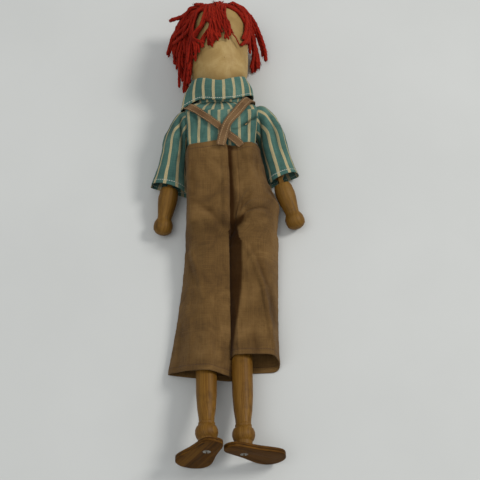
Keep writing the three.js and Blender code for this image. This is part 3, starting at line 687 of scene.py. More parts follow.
TROUSER_CREASES = [
    ([(-42, -12), (-40, -38), (-30, -74), (-26, -104)], 2.0, 2.0),
    ([(-45, -16), (-43, -44), (-34, -82)], -1.0, 2.4),
    ([(16, -26), (28.6, -51), (38.7, -82), (43.2, -111), (47.6, -143), (50, -162)], 3.6, 2.2),
    ([(24, -30), (34.5, -55), (44.5, -84), (48.6, -111), (52, -143)], -1.2, 4.2),
    ([(13, -9), (20, 4), (30, 11), (44, 15)], 3.2, 1.9), ([(14, -11), (24, -3), (36, 1), (52, 0)], 3.0, 2.2),
    ([(12, -7), (15.5, 8), (23, 20), (31, 30)], 2.8, 1.8), ([(11, -5), (12, 12), (15.5, 27)], 1.8, 1.4),
    ([(15, -5), (24, 2), (36, 7), (48, 8)], -1.4, 1.6), ([(13, 0), (18.5, 12), (27, 21)], -1.2, 1.6),
    ([(44, 26), (51, 21), (58, 17)], 2.4, 2.2), ([(46, 34), (52, 28), (57, 22)], -2.2, 2.2),
    ([(-1, -16), (-20, 4), (-36, 13)], -1.2, 4.0), ([(-2, -26), (-18, -8), (-34, 2)], 1.6, 3.6),
    ([(-37, 64), (-35, 34), (-37, 4)], -1.0, 3.0), ([(-31, 72), (-29, 40), (-31, 8)], 0.9, 3.0),
    ([(-1.2, 78), (-0.8, 50), (-0.4, 10), (-1.0, -20)], 3.4, 3.4),
    ([(36, 76), (34, 55), (38, 38)], -1.2, 2.4), ([(25, 78), (25, 60), (28, 44)], 1.0, 2.4),
    ([(-42, -108), (-41, -140), (-44, -180)], 1.8, 3.6), ([(-10, -104), (-6, -140), (-8, -180)], 1.2, 3.4),
    ([(-50, -96), (-53, -140), (-57, -180)], -1.5, 3.2), ([(28, -120), (27, -140), (30, -162)], -1.4, 4.0),
    ([(-24, -118), (-20, -146), (-17, -172)], 1.0, 3.0), ([(8, -96), (10, -130), (11, -158)], 1.4, 1.6),
    ([(20, -60), (22, -90), (20, -118)], -1.0, 4.0),
]
TROUSER_STEPS = [([(1.6, 84), (2.2, 66), (2.9, 41), (2.9, 10), (2.8, -14), (2.8, -34)], 4.6, 11.0)]
LEG_COUNTS = (9, 18, 9, 9, 7, 5, 9, 9, 9, 5)       # fine steps between the ten controls round a leg
SEAT_COUNTS = LEG_COUNTS[1:9]                     # the eight spans that the seat shares with it


def bottom_points(inner, outer, z):
    """Four points of the underside, from the outer edge to the inner edge."""
    k = 1.0 if outer > inner else -1.0
    return [(outer - 3.0 * k, z + 1.6), (outer + (inner - outer) * 0.3, z),
            (outer + (inner - outer) * 0.7, z),
            (inner + 2.5 * k, z + 1.4)]


def leg_ring(row, slant):
    """One ring of a leg, its top line and then its underside; the hem's slant and rise move points."""
    y, top, floor_z = row
    inner, outer = top[0][0], top[-1][0]
    rise = (LEFT_HEM_RISE if outer < inner else 0.0) * smooth_step(-135.0, -181.0, y)
    return [(x, y - slant * share + rise * abs(x - inner) / abs(outer - inner), z)
            for (x, z), share in zip(top + bottom_points(inner, outer, floor_z), SLANT_SHARES)]


def seat_arc(row):
    y, centre, top, floor_z = row
    outer = top[-1][0]
    k = 1.0 if outer > centre[0] else -1.0
    low = [(outer - 3.5 * k, floor_z + 5.0), (outer + (centre[0] - outer) * 0.26, floor_z),
           (outer + (centre[0] - outer) * 0.62, floor_z), (centre[0], floor_z)]
    return [(x, y, z) for x, z in [centre] + top + low]


def trouser_leg(side):
    """Seat half and leg of one side as (outer grid, inner grid); they share their edge columns."""
    legs, seats = (LEFT_LEG, LEFT_SEAT) if side == "left" else (RIGHT_LEG, RIGHT_SEAT)
    slants = [HEM_SLANT[side] * smooth_step(0.55, 1.0, (i + 1) / len(legs)) for i in range(len(legs))]
    round_leg = steps_between(LEG_COUNTS)
    over_seat = np.append(steps_between(SEAT_COUNTS), len(SEAT_COUNTS))
    fine_rings = np.array([spline(leg_ring(r, slant), round_leg, closed=True)
                           for r, slant in zip(legs, slants)])
    fine_arcs = np.array([spline(seat_arc(r), over_seat) for r in seats])
    first, last = LEG_COUNTS[0], sum(LEG_COUNTS[:9])
    outer_leg = fine_rings[:, first:last + 1]
    inner_leg = np.concatenate([fine_rings[:, last:], fine_rings[:, :first + 1]], 1)
    # the crotch seam: from the underside's centre up to the top's centre
    z0, z1 = fine_arcs[0, -1, 2], fine_arcs[0, 0, 2]
    t = np.linspace(0, 1, inner_leg.shape[1])
    seam = np.stack([np.full_like(t, 9.0), CROTCH_Y - 3.0 * np.sin(math.pi * t), z0 + (z1 - z0) * t], -1)
    outer_rows = np.concatenate([fine_arcs[::-1], outer_leg])
    inner_rows = np.concatenate([seam[None], inner_leg])
    stations = np.concatenate([[r[0] for r in seats[::-1]], [r[0] for r in legs]])
    ys = np.concatenate([np.linspace(90, CROTCH_Y, 61)[:-1], np.linspace(CROTCH_Y, SPLIT_Y, 46)[:-1],
                         np.linspace(SPLIT_Y, stations[-1], 56)])
    at = np.interp(-ys, -stations, np.arange(len(stations)))
    outer = spline(outer_rows, at)
    below = ys <= CROTCH_Y + 1e-6
    inner = spline(inner_rows, at[below] - (len(seats) - 1))
    return ys, below, outer, inner


def drape(p):
    """Adds the folds to a grid of cloth whose upper face looks up; also returns how much painted shade each
    point gets, 0 to 1.
    """
    flat = p.reshape(-1, 3).copy()
    n = grid_normals(p, False).reshape(-1, 3)
    up = smooth_step(0.05, 0.55, np.abs(n[:, 2])) * smooth_step(8.0, 18.0, flat[:, 2])
    x, y, xy = flat[:, 0].copy(), flat[:, 1].copy(), flat[:, :2].copy()
    step = step_height(xy, TROUSER_STEPS)
    seat = y > CROTCH_Y
    seam_x = np.interp(y, [-14, -7, 5, 20, 45, 90], [9.0, 10.5, 12.8, 15.0, 14.6, 12.6])
    seam = np.exp(-(((x - seam_x) / 0.9) ** 2)) * seat
    flat[:, 2] += up * (crease_height(xy, TROUSER_CREASES) + step - 0.7 * seam)
    free = smooth_step(2.0, 7.0, flat[:, 2])
    waves = free * 0.35 * ripple(flat, 16.0, 4) + free * 0.16 * ripple(flat, 6.5, 5)
    flat += waves[:, None] * np.sign(n[:, 2:3]) * n
    # the cloth stays above the boards it lies on and above the floor
    x, y = flat[:, 0], flat[:, 1]
    boards = (y > -10) & (x > -41) & (x < 30.5) & (flat[:, 2] > 34)
    board_top = 41.85 + 0.0949 * y + 1.5 + 3.2 * smooth_step(48, 58, y)
    flat[:, 2] = np.where(boards, np.maximum(flat[:, 2], board_top), flat[:, 2])
    flat[:, 2] = np.maximum(flat[:, 2], FLOOR_GAP)
    # painted shade in the gap between the legs
    between_legs = (y < CROTCH_Y + 1) & (x > 1.6) & (flat[:, 2] < 36)
    bright = np.interp(y, [-165, -150, -121, -85, -62, -14], [6.5, 7.5, 12.0, 17.5, 19.0, 19.5])
    gap = between_legs * (1 - smooth_step(bright - 4.5, bright, x))
    # shadow under the overlapped edge
    past = x - np.interp(y, [-34, 10, 41, 66, 84], [2.8, 2.9, 2.9, 2.2, 1.6])
    under = 0.62 * np.exp(-((past - 2.6) / 3.4) ** 2) * smooth_step(0.0, 0.7, past) * (y > CROTCH_Y)
    # painted shade: in the crease valleys, along the seam's groove, past the overlapped edge and along the
    # TROUSER_SHADE lines
    valleys, shade = valley_depth(xy, TROUSER_CREASES), crease_height(flat[:, :2], TROUSER_SHADE)
    deep = up * np.clip(-valleys / 3.2 + shade - 0.1 * step + 0.35 * seam + under, 0, 1)
    deep = np.maximum(deep, (0.92 + 0.08 * smooth_step(-60, -20, y)) * gap)
    return flat.reshape(p.shape), deep.reshape(p.shape[:2])


def cloth_lengths(p, from_hem):
    """Cloth coordinates of a grid: u along each row, v as given per row."""
    step = np.linalg.norm(np.diff(p, axis=1), axis=2).mean(0)
    u = np.concatenate([[0], np.cumsum(step)])
    return np.tile(u, (p.shape[0], 1)), np.tile(from_hem[:, None], (1, p.shape[1]))


def trim_waist(p):
    """Pulls the top rows of the seat to the waist line at the back and to one height at the front."""
    out = p.copy()
    x, y, z = p[0].T
    back_line = np.interp(x, *np.array(WAIST_LINE).T)
    goal = FRONT_WAIST + (back_line - FRONT_WAIST) * smooth_step(18.0, 40.0, z) - y
    out[:, :, 1] += smooth_step(56.0, 90.0, p[:, :, 1]) * goal[None]
    return out


def tailored(names, patches, thickness, material):
    """Sews grids together, gives the cloth its thickness and cuts it into the named pieces."""
    made = Patchwork()
    for patch in patches:
        made.add(**patch)
    whole = thicken(made.build(names[0] + "_whole"), thickness)
    pieces = divide(whole, names)
    for obj in pieces:
        smooth(obj.data)
        coat(obj.data, material)
    return pieces


def make_trousers():
    for side in SIDES:
        ys, below, outer, inner = trouser_leg(side)
        outer = trim_waist(outer)
        (outer, deep), (inner, deep_in) = drape(outer), drape(inner)
        inner[:, 0], inner[:, -1] = outer[below][:, -1], outer[below][:, 0]
        run = run_along(outer.mean(1))
        from_edge = np.minimum(run, run[-1] - run)
        first = int(np.argmax(below))
        tag = (ys[:-1] <= SPLIT_Y + 1e-6).astype(int)
        u_out, v_out = cloth_lengths(outer, from_edge)
        u_in, v_in = cloth_lengths(inner, from_edge[first:])
        flip = side == "left"
        upper, lower = tailored([f"trousers_{side}_seat", f"trousers_{side}_leg"], [
            dict(p=outer, u=u_out, v=v_out, flip=flip, tag=tag, fold=deep),
            dict(p=inner, u=u_in + u_out[0, -1], v=v_in, flip=flip, tag=tag[first:], fold=deep_in)],
            TROUSER_CLOTH, "trousers")
        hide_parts(f"trouser_upper_{side}", *(["trouser_seat"] if side == "left" else []))
        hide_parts(f"trouser_lower_{side}")
        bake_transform(upper)
        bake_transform(lower)


make_trousers()

# ---------------------------------------------------------------- sleeves
SLEEVE_SPLIT = 45.0
SLEEVE_STRIPE = {"left": 2.0, "right": 5.0}     # where the cloth's stripes fall round each sleeve
# Rows past the armhole: distance along the arm, inner reach, outer reach, edge height, top, bottom.
SLEEVE_ROWS = {
    "left": [(20, -11.7, 15.6, 28, 44, 13), (35, -13.3, 16.5, 22, 40, 8), (50, -15, 17.5, 16, 36.5, 4),
             (63, -17.5, 20, 12, 33.5, 2.5), (76, -21.2, 22.6, 8.5, 31.5, 1.3)],
    "right": [(20, -9, 22.5, 28, 44.5, 13), (35, -11, 21.5, 22, 40, 8), (50, -12, 21.3, 16, 36.5, 4),
              (61, -13, 22, 12, 33.5, 2.5), (70, -14.8, 23.2, 8.5, 31.5, 1.3)],
}
SLEEVE_CREASES = {
    "left": [([(-45, 128), (-51, 112), (-49, 92), (-52, 66)], -2.4, 2.6),
             ([(-50, 126), (-57, 108), (-58, 80)], 1.4, 3.0),
             ([(-46, 118), (-46, 100), (-47, 84)], 1.6, 2.2),
             ([(-60, 128), (-66, 104), (-72, 76)], -1.2, 3.0),
             ([(-66, 92), (-72, 66), (-78, 46)], 0.9, 3.5), ([(-53, 84), (-56, 60), (-58, 40)], 0.8, 3.4)],
    "right": [([(36, 128), (41, 112), (42, 88), (48, 60)], -3.0, 2.4),
              ([(43, 136), (47, 116), (52, 84), (60, 56)], 1.8, 2.8),
              ([(50, 130), (56, 104), (64, 70)], -1.8, 2.6), ([(57, 126), (64, 98), (74, 64)], 1.5, 3.0),
              ([(38, 108), (41, 92), (45, 70)], 1.4, 2.0), ([(66, 112), (73, 84), (80, 60)], -0.8, 2.6)],
}


def arm_axes(side):
    way = ARM_WAY[side][:2] / np.linalg.norm(ARM_WAY[side][:2])
    out = np.array([-way[1], way[0]]) if side == "right" else np.array([way[1], -way[0]])
    return way, out


SHOULDER_Y, SHOULDER_Z = 116.5, 33.1
# Rings at the armhole: distance along the arm, centre, direction across, half width, half height.
SLEEVE_CAPS = {
    "left": [(-8.0, (SPINE_ORIGIN[0] - 36.5, SHOULDER_Y, SHOULDER_Z), (0.0, 1.0), 15.5, 15.5),
             (-2.0, (-46.0, 114.5, 32.6), (-0.4, 0.92), 16.0, 15.6),
             (7.0, (-50.3, 107.5, 31.6), (-0.75, 0.66), 14.8, 15.4)],
    "right": [(-8.0, (SPINE_ORIGIN[0] + 36.5, SHOULDER_Y, SHOULDER_Z), (0.0, 1.0), 15.5, 15.5),
              (-2.0, (37.5, 118.5, 33.0), (0.35, 0.94), 19.4, 15.6),
              (7.0, (44.5, 112.0, 32.0), (0.7, 0.71), 18.8, 15.4)],
}
SLEEVE_HEM = 66.0                              # rows past this distance slant with the hem
SLEEVE_SLANT = {"left": 3.0, "right": 1.5}
SLEEVE_POINTS = 16


def sleeve_controls(side):
    """Rings of control points from the armhole to the cuff, and how far along the arm each lies."""
    way, out = arm_axes(side)
    start = SHOULDER[side]
    turn = np.arange(SLEEVE_POINTS) * TAU / SLEEVE_POINTS
    rings = []
    for _, (x, y, z), across, reach, height in SLEEVE_CAPS[side]:
        across = np.array(across) / np.linalg.norm(across)
        rings.append([(x + across[0] * reach * math.cos(a), y + across[1] * reach * math.cos(a),
                       z + height * math.sin(a)) for a in turn])
    for s, inner, outer, edge, top, low in SLEEVE_ROWS[side]:
        middle, half = (inner + outer) / 2, (outer - inner) / 2
        at_hem = s > SLEEVE_HEM
        ring = []
        for a in turn:
            c, z = math.cos(a), math.sin(a)
            reach = middle + half * math.copysign(abs(c) ** 0.9, c)
            height = edge + (top - edge) * max(z, 0.0) ** 0.95 - (edge - low) * max(-z, 0.0) ** 0.7
            run = s - SLEEVE_SLANT[side] * at_hem * c + 2.5 * at_hem * min(z, 0.0)
            xy = start[:2] + way * run + out * reach
            ring.append((xy[0], xy[1], height))
        rings.append(ring)
    return np.array(rings), np.array([row[0] for row in SLEEVE_CAPS[side] + SLEEVE_ROWS[side]])


def make_sleeve(side):
    rings, stations = sleeve_controls(side)
    fine = np.arange(0, SLEEVE_POINTS, 1 / 7)
    fine_rings = np.array([spline(r, fine, closed=True) for r in rings])
    cuts = np.concatenate([np.linspace(stations[0], SLEEVE_SPLIT, 42)[:-1],
                           np.linspace(SLEEVE_SPLIT, stations[-1], 28)])
    at = np.interp(cuts, stations, np.arange(len(stations)))
    p = spline(fine_rings, at)
    n = grid_normals(p, True).reshape(-1, 3)
    flat = p.reshape(-1, 3)
    up = smooth_step(0.0, 0.5, np.abs(n[:, 2])) * smooth_step(12, 24, flat[:, 2])
    settled = np.repeat(smooth_step(-7.0, 2.0, cuts), p.shape[1])
    flat[:, 2] += 1.35 * settled * up * crease_height(flat[:, :2], SLEEVE_CREASES[side])
    free = settled * smooth_step(2.5, 7, flat[:, 2])
    flat += (free * (0.4 * ripple(flat, 14, 8) + 0.2 * ripple(flat, 6, 9)))[:, None] * n
    p = flat.reshape(p.shape)
    around = np.linalg.norm(np.diff(p, axis=1, append=p[:, :1]), axis=2)[30:].mean(0)
    u = np.tile(np.concatenate([[0], np.cumsum(around)]) + SLEEVE_STRIPE[side], (len(cuts), 1))
    v = np.tile((stations[-1] - cuts)[:, None] * 1.02, (1, p.shape[1] + 1))
    tag = (cuts[:-1] >= SLEEVE_SPLIT - 1e-6).astype(int)
    # painted shade in the valleys of the sleeve's creases, for the fold attribute
    valleys = valley_depth(flat[:, :2], SLEEVE_CREASES[side])
    deep = np.clip(-valleys * settled * up / 3.4, 0, 1).reshape(p.shape[:2])
    upper, lower = tailored([f"sleeve_{side}_top", f"sleeve_{side}_cuff"], [
        dict(p=p, u=u, v=v, closed=True, flip=side == "right", tag=tag, fold=deep)],
        SHIRT_CLOTH, "shirt")
    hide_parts(f"sleeve_{side}")
    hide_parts(f"cuff_{side}")
    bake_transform(upper)
    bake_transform(lower)


for side in SIDES:
    make_sleeve(side)

# ---------------------------------------------------------------- shirt, collar and straps
# Rows up the torso: v, half width left, half width right, half depth.
SHIRT_ROWS = [(62, 35.9, 36.5, 22.0, 0.2), (80, 36.8, 39.0, 22.6, 0.22), (98, 37.8, 41.0, 23.4, 0.24),
              (112, 38.4, 42.6, 23.8, 0.26), (124, 39.4, 43.6, 23.4, 0.28), (130.5, 39.6, 43.4, 22.0, 0.34),
              (134.6, 38.4, 41.8, 20.0, 0.42), (137.4, 34.6, 37.6, 19.0, 0.5), (138.6, 30.0, 31.6, 20.0, 0.7),
              (139.0, 26.0, 26.6, 21.0, 1.0)]
SHIRT_CREASES = [
    ([(-38, 124), (-32, 112), (-30, 96), (-31, 84)], -1.1, 2.6),
    ([(-34, 126), (-27, 112), (-25, 92)], 0.9, 2.8),
    ([(-22, 124), (-19, 108), (-20, 88)], -0.8, 2.6), ([(-12, 122), (-13, 106), (-10, 90)], 0.7, 3.0),
    ([(33, 124), (30, 110), (32, 92)], 1.0, 2.4), ([(26, 118), (24, 104), (25, 90)], -0.9, 2.4),
    ([(-3, 131), (2, 126), (12, 121)], 0.6, 2.0), ([(-30, 134), (-20, 130), (-8, 131)], -0.7, 2.2),
]
SHIRT_STEPS = [([(45, 134), (41.5, 127), (38, 119), (31, 112.5), (22, 106.5), (12.5, 101), (7, 98)], 3.0,
                5.5)]
YOKE_V = 126.5


SHIRT_POINTS = 48      # control points round a row of the shirt


def make_shirt():
    rings = []
    for v, left, right, deep, e in SHIRT_ROWS:
        ring = []
        for a in np.arange(SHIRT_POINTS) * TAU / SHIRT_POINTS:
            c, s = math.cos(a), math.sin(a)
            half = right if c > 0 else left
            ring.append((half * math.copysign(abs(c) ** e, c), v, deep * math.copysign(abs(s) ** e, s)))
        rings.append(ring)
    fine = np.arange(0, SHIRT_POINTS, 1 / 3)
    fine_rings = np.array([spline(r, fine, closed=True) for r in rings])
    p = body_point(spline(fine_rings, np.linspace(0, len(rings) - 1, 78)))
    flat = p.reshape(-1, 3)
    back = smooth_step(44, 52, flat[:, 2])
    xy = flat[:, :2]
    step = step_height(xy, SHIRT_STEPS)
    flat[:, 2] += back * (1.6 * crease_height(xy, SHIRT_CREASES) + step)
    flat[:, 2] += 0.35 * back * ripple(flat, 13, 12)
    # painted shade past the yoke's overlapped edge and in the crease valleys, for the fold attribute
    deep = (np.clip(-step / 4.5 - 0.3 * valley_depth(xy, SHIRT_CREASES), 0, 1) * back).reshape(p.shape[:2])
    lengths = np.linalg.norm(np.diff(p, axis=1, append=p[:, :1]), axis=2)[20]
    u = np.tile(np.concatenate([[0], np.cumsum(lengths)]), (p.shape[0], 1))
    v = torso_point(p)[:, :, 1]
    v = np.concatenate([v, v[:, :1]], 1)
    u = u + np.where(v > YOKE_V, 4.2, 0.0)          # the stripes don't meet across the yoke's seam
    away = np.abs(v - YOKE_V)
    body, = tailored(["shirt_torso"],
                     [dict(p=p, u=u, v=5.3 + away + 200 * (away > 12), closed=True, flip=True,
                                            fold=deep)], SHIRT_CLOTH, "shirt")
    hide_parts("shirt_body")
    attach(body, "torso")


make_shirt()


def make_collar():
    """A turned-down collar: up inside the neck, over its fold, and down outside, open at the throat."""
    count = 150
    phi = np.linspace(-math.pi + 0.16, math.pi - 0.16, count)          # 0 at the back, + towards the right
    side = np.abs(np.sin(phi))
    front = smooth_step(1.75, 2.9, np.abs(phi))
    left_wing = np.exp(-((phi + 1.35) / 0.42) ** 2)
    right = smooth_step(0.2, 1.6, phi)
    left = smooth_step(-0.5, -1.5, phi)
    top_v = 159.6 + 9.0 * side - 9.0 * front + 1.5 * right - 4.5 * left * (1 - front)
    top_rx = 32.2 - 3.0 * front + 2.6 * left * (1 - front)
    top_rw = 31.0 * (1 - front) + 25.0 * front
    low_v = 137.0 + (4.5 * side + 8.0 * right - 9.0 * left) * (1 - front) - 4.5 * front - 2.5 * left_wing
    low_rx = 35.0 + 4.0 * right * (1 - front) + 10.5 * left_wing
    low_rw = 25.6 + 3.0 * left_wing - 1.0 * front
    s, c = (np.sign(f) * np.abs(f) ** 0.72 for f in (np.sin(phi), np.cos(phi)))
    wave = 0.7 * np.sin(phi * 5 + 1) + 0.4 * np.sin(phi * 9)

    def ring(rx, v, rw):
        return np.stack([rx * s, v + 0 * s, rw * c], -1)

    rows = [ring(26.5, 136.5 + 0 * s, 22.0), ring(28.0, 146.0 + 0 * s, 24.5),
            ring(top_rx - 1.7, top_v - 4.0, top_rw - 1.7), ring(top_rx - 0.5, top_v, top_rw - 0.5),
            ring(top_rx + 1.1, top_v - 3.2, top_rw + 1.1),
            ring((top_rx + low_rx) / 2 + 1.6 + wave, (top_v + low_v) / 2,
                 (top_rw + low_rw) / 2 + 1.3 + wave * 0.6),
            ring(low_rx + wave * 0.8, low_v, low_rw + 0.6 + wave * 0.5)]
    p = body_point(spline(np.array(rows), np.linspace(0, len(rows) - 1, 58)))
    flat = p.reshape(-1, 3)
    flat += 0.22 * ripple(flat, 9, 21)[:, None] * np.array([0.4, 0.0, 1.0])
    p = flat.reshape(p.shape)
    u = run_along(p[40])
    u = np.tile(u - u[count // 2] + 3.0, (p.shape[0], 1))
    run = run_along(p.mean(1))
    v = np.tile((run[-1] - run)[:, None], (1, count)) + 2.2
    obj, = tailored(["shirt_collar"], [dict(p=p, u=u, v=v, flip=True)],
                    SHIRT_CLOTH, "shirt")
    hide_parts("collar")
    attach(obj, "torso")


make_collar()

# Torso-frame line of each strap from the front waist over the shoulder to the back waist.
STRAP_LINES = {
    "left": [(-20, 84, -25.4), (-24, 104, -26.2), (-29, 124, -25.6), (-32.5, 135.5, -16), (-34.5, 138.6, -3),
             (-36.5, 137.0, 8), (-38.0, 133.0, 17.0), (-32.5, 128.6, 25.8), (-17, 117.6, 26.8),
             (-1, 104.2, 27.4),
             (11.5, 92.4, 27.6), (21, 83.2, 28.4), (23.6, 80, 28.6)],
    "right": [(20, 84, -25.4), (24, 104, -26.2), (29, 124, -25.6), (32.5, 136, -16), (34.8, 139.4, -3),
              (36, 139.6, 9), (35.6, 138.2, 18.5), (30.5, 134.6, 25.8), (19.5, 121, 28.4), (9, 107.5, 30.0),
              (4.4, 95, 30.2), (1.6, 84.5, 31.0), (0.8, 79.5, 31.6)],
}


STRAP_HALF = 4.2                                                            # half a strap's width
STRAP_LANES = np.array([-1.0, -0.93, -0.7, -0.35, 0.0, 0.35, 0.7, 0.93, 1.0])     # across it
STRAP_DISH = np.array([0.0, 0.55, 0.35, 0.1, 0.0, 0.1, 0.35, 0.55, 0.0])          # how it stands up there


def make_strap(side):
    line = np.array(STRAP_LINES[side], float)
    c = spline(line, np.linspace(0, len(line) - 1, 110))
    along = np.gradient(c, axis=0)
    along /= np.linalg.norm(along, axis=1, keepdims=True)
    out = c - (0.0, 110.0, 0.0)
    out[:, 0] *= 0.12
    out[:, 1] = np.maximum(out[:, 1] - 14, 0) * 0.8
    out -= (out * along).sum(1, keepdims=True) * along
    out /= np.linalg.norm(out, axis=1, keepdims=True)
    across = np.cross(out, along)
    width = STRAP_HALF + 0.3 * np.sin(np.arange(110) * 0.21)
    p = body_point(c[:, None] + across[:, None] * (width[:, None] * STRAP_LANES)[..., None]
                   + out[:, None] * STRAP_DISH[None, :, None])
    flat = p.reshape(-1, 3)
    flat += 0.25 * ripple(flat, 8, 31 if side == "left" else 37)[:, None]
    run = run_along(c)
    u = np.tile(run[:, None], (1, len(STRAP_LANES)))
    v = np.tile((STRAP_HALF * (1 - np.abs(STRAP_LANES)))[None], (len(run), 1))
    obj, = tailored([f"strap_{side}_band"], [dict(p=p, u=u, v=v, flip=side == "left")],
                    STRAP_CLOTH, "strap")
    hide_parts(f"strap_{side}")
    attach(obj, "torso")


for side in SIDES:
    make_strap(side)

# ---------------------------------------------------------------- hair
HEAD_PROFILE = np.array([(150, 14), (154, 20), (161, 26), (170, 30.5), (182, 33.6), (196, 34.4),
                         (222, 34.4), (238, 33.2),
                         (250, 29.6), (259, 23), (265, 14), (268, 5)], float)


def clear_head(p, gap):
    """Pushes points out of the head and up off the floor."""
    q = torso_point(p)
    r = np.hypot(q[:, 0], q[:, 2])
    need = np.interp(q[:, 1], HEAD_PROFILE[:, 0], HEAD_PROFILE[:, 1]) + gap
    need = np.where((q[:, 1] > 150) & (q[:, 1] < 268), need, 0)
    grow = np.where((r < need) & (r > 1e-6), need / np.maximum(r, 1e-6), 1.0)
    q[:, 0] *= grow
    q[:, 2] *= grow
    cap = (q[:, 1] > 252) & (q[:, 1] < 268 + gap)
    centre = np.array([0, 238.0, 0])
    away = q - centre
    d = np.linalg.norm(away, axis=1)
    push = cap & (d < 30.5 + gap)
    q[push] = centre + away[push] * ((30.5 + gap) / d[push])[:, None]
    out = body_point(q)
    out[:, 2] = np.maximum(out[:, 2], gap)
    return out


rng = np.random.default_rng(11)


def lock(points, radius, group, spread=1.0):
    return {"points": np.array(points, float), "radius": radius, "group": group, "spread": spread}


def between(a, b, t):
    return np.array(a, float) * (1 - t) + np.array(b, float) * t


def crown_point(x, w, v=262.0):
    return body_point(np.array([x, v, w], float))


FAN_EDGE = np.array([(9.6, 208.5, 77), (3.4, 206, 78), (-3.0, 205.0, 77), (-10, 200, 76), (-18.5, 193.0, 74),
                     (-29.0, 187, 69), (-37.0, 179, 60), (-41.5, 169, 48), (-45, 160.5, 40)])
LOCKS = []
FAN = 52
for i in range(FAN):
    t = (i + 0.5) / FAN
    t_edge = np.clip(t + rng.normal() * 0.03, 0, 1)
    tip = spline(FAN_EDGE, [t_edge * (len(FAN_EDGE) - 1)])[0] + rng.normal(size=3) * (1.6, 3.0, 0.6)
    tip[1] += rng.uniform(0, 18) * (rng.random() < 0.4)
    root = crown_point(5.0 - 21.0 * t + rng.normal(), 16 + rng.normal() * 1.5)
    mid1 = between(root, tip, 0.35) + (-2.0 * (1 - t) - 4.0 * t + rng.normal() * 1.2, 1.0, 9.5)
    mid2 = between(root, tip, 0.7) + (-1.5 * (1 - t) - 3.0 * t + rng.normal() * 1.6, 2.0, 7.5)
    LOCKS.append(lock([root, mid1, mid2, tip], rng.uniform(1.15, 1.5), "crown"))
LEFT_TIPS = [(-66.5, 227, 9), (-62, 238, 14), (-63, 221, 5), (-58, 214, 6), (-55, 206, 8), (-51, 207, 12),
             (-60, 229, 12),
             (-56, 220, 14), (-50, 196, 12), (-47, 182, 20), (-49, 176, 14), (-45, 166, 24), (-52, 213, 5),
             (-46, 205, 4),
             (-57, 243, 8), (-50, 233, 3), (-48, 188, 30), (-44, 171, 36), (-53, 226, 22), (-50, 216, 28)]
for i, tip in enumerate(LEFT_TIPS * 2):
    tip = np.array(tip, float) + rng.normal(size=3) * (2.2, 3.5, 1.5)
    t = rng.random()
    root = crown_point(-14 - 8 * rng.random(), 14 - 16 * rng.random(), 259)
    high = np.array([-36 - 8 * t, 252 + rng.normal() * 3, 46 - 8 * t])
    low = between(high, tip, 0.55) + (-4, 2, 2)
    LOCKS.append(lock([root, high, low, tip], rng.uniform(1.4, 1.9), "left"))
SPECIALS = [
    ([(-20, 256, 56), (-32, 257, 54), (-45, 257, 46), (-56, 257.5, 38), (-65, 258.7, 31)], 2.4, "left"),
    ([(-16, 256, 56), (-24, 260, 58), (-29, 263, 58), (-34, 265, 56)], 1.8, "left"),
    ([(-14, 256, 56), (-21, 257, 61), (-27, 259, 61), (-31, 260, 60)], 1.6, "left"),
    ([(-18, 257, 58), (-34, 264, 52), (-48, 258, 40), (-56, 247, 28), (-59, 232, 18), (-58, 222, 12)], 2.2,
     "left"),
    ([(-16, 255, 60), (-36, 258, 54), (-47, 250, 44), (-54, 238, 34), (-57, 226, 26)], 2.1, "left"),
    ([(-4, 258, 60), (-2, 261, 62), (0, 264, 62)], 1.5, "crown"),
    ([(-7, 258, 60), (-8, 262, 62), (-11, 264, 62)], 1.4, "crown"),
    ([(4, 258, 56), (17, 268, 48), (26, 258, 50), (28.5, 240, 55), (29, 216, 58), (19.4, 201, 68)], 2.3,
     "right"),
    ([(2, 258, 57), (14, 265, 54), (24, 254, 55), (27, 238, 59), (27.5, 222, 62), (22, 209, 67)], 2.1,
     "right"),
    ([(6, 259, 52), (20, 270, 44), (30, 259, 44), (32, 242, 48), (32.5, 222, 52), (27, 207, 58)], 2.0,
     "right"),
    ([(9, 214, 77), (13, 208, 77), (16, 204, 75), (19, 199, 71)], 0.7, "crown"),
    ([(-1, 254, 66), (8, 251, 67), (17, 246, 62), (24, 236, 56), (26, 222, 56), (24, 210, 62)], 1.9, "right"),
    ([(0, 256, 64), (9, 254, 64), (19, 248, 57), (26.5, 236, 50), (28.5, 222, 48), (29, 208, 46)], 1.8,
     "right"),
    ([(0, 257, 62), (9, 256, 61), (20, 250, 53), (28, 238, 44), (31, 222, 40), (31, 208, 36)], 1.8, "right"),
    ([(-12, 256, 60), (-30, 246, 62), (-42, 238, 52), (-54, 237, 36), (-62, 240, 18)], 2.0, "left"),
    ([(-14, 254, 62), (-26, 240, 68), (-37, 229, 62), (-50, 226, 46), (-61, 230, 24)], 2.1, "left"),
    ([(-14, 254, 62), (-34, 250, 58), (-44, 236, 48), (-46, 220, 42), (-44, 206, 40)], 1.9, "left"),
    ([(-10, 256, 60), (-24, 250, 66), (-40, 240, 56), (-52, 224, 36), (-56, 214, 20)], 1.8, "left"),
    ([(8, 259, 50), (26, 266, 42), (38, 254, 32), (44, 240, 22), (50, 226, 12), (52, 214, 6)], 2.5, "right"),
    ([(8, 259, 48), (25, 264, 40), (36, 252, 32), (43, 238, 20), (47, 228, 12), (46, 220, 8)], 2.0, "right"),
    ([(8, 259, 46), (24, 262, 36), (34, 250, 30), (38, 232, 22), (40, 214, 12), (40, 204, 7)], 2.2, "right"),
    ([(8, 259, 44), (26, 260, 32), (35, 246, 26), (37, 228, 18), (36, 210, 10), (34, 199, 6)], 2.0, "right"),
    ([(9, 259, 42), (27, 258, 28), (36, 242, 22), (40, 226, 14), (43, 214, 6), (42, 206, 4)], 1.8, "right"),
    ([(9, 258, 38), (27, 256, 22), (35, 240, 16), (38, 222, 9), (38, 210, 4), (37, 202, 3)], 1.8, "right"),
    ([(9, 258, 48), (27, 258, 42), (33, 244, 40), (35, 226, 32), (36, 212, 20), (33, 202, 12)], 1.9, "right"),
]
for points, radius, group in SPECIALS:
    LOCKS.append(lock(points, radius, group, 0.35))
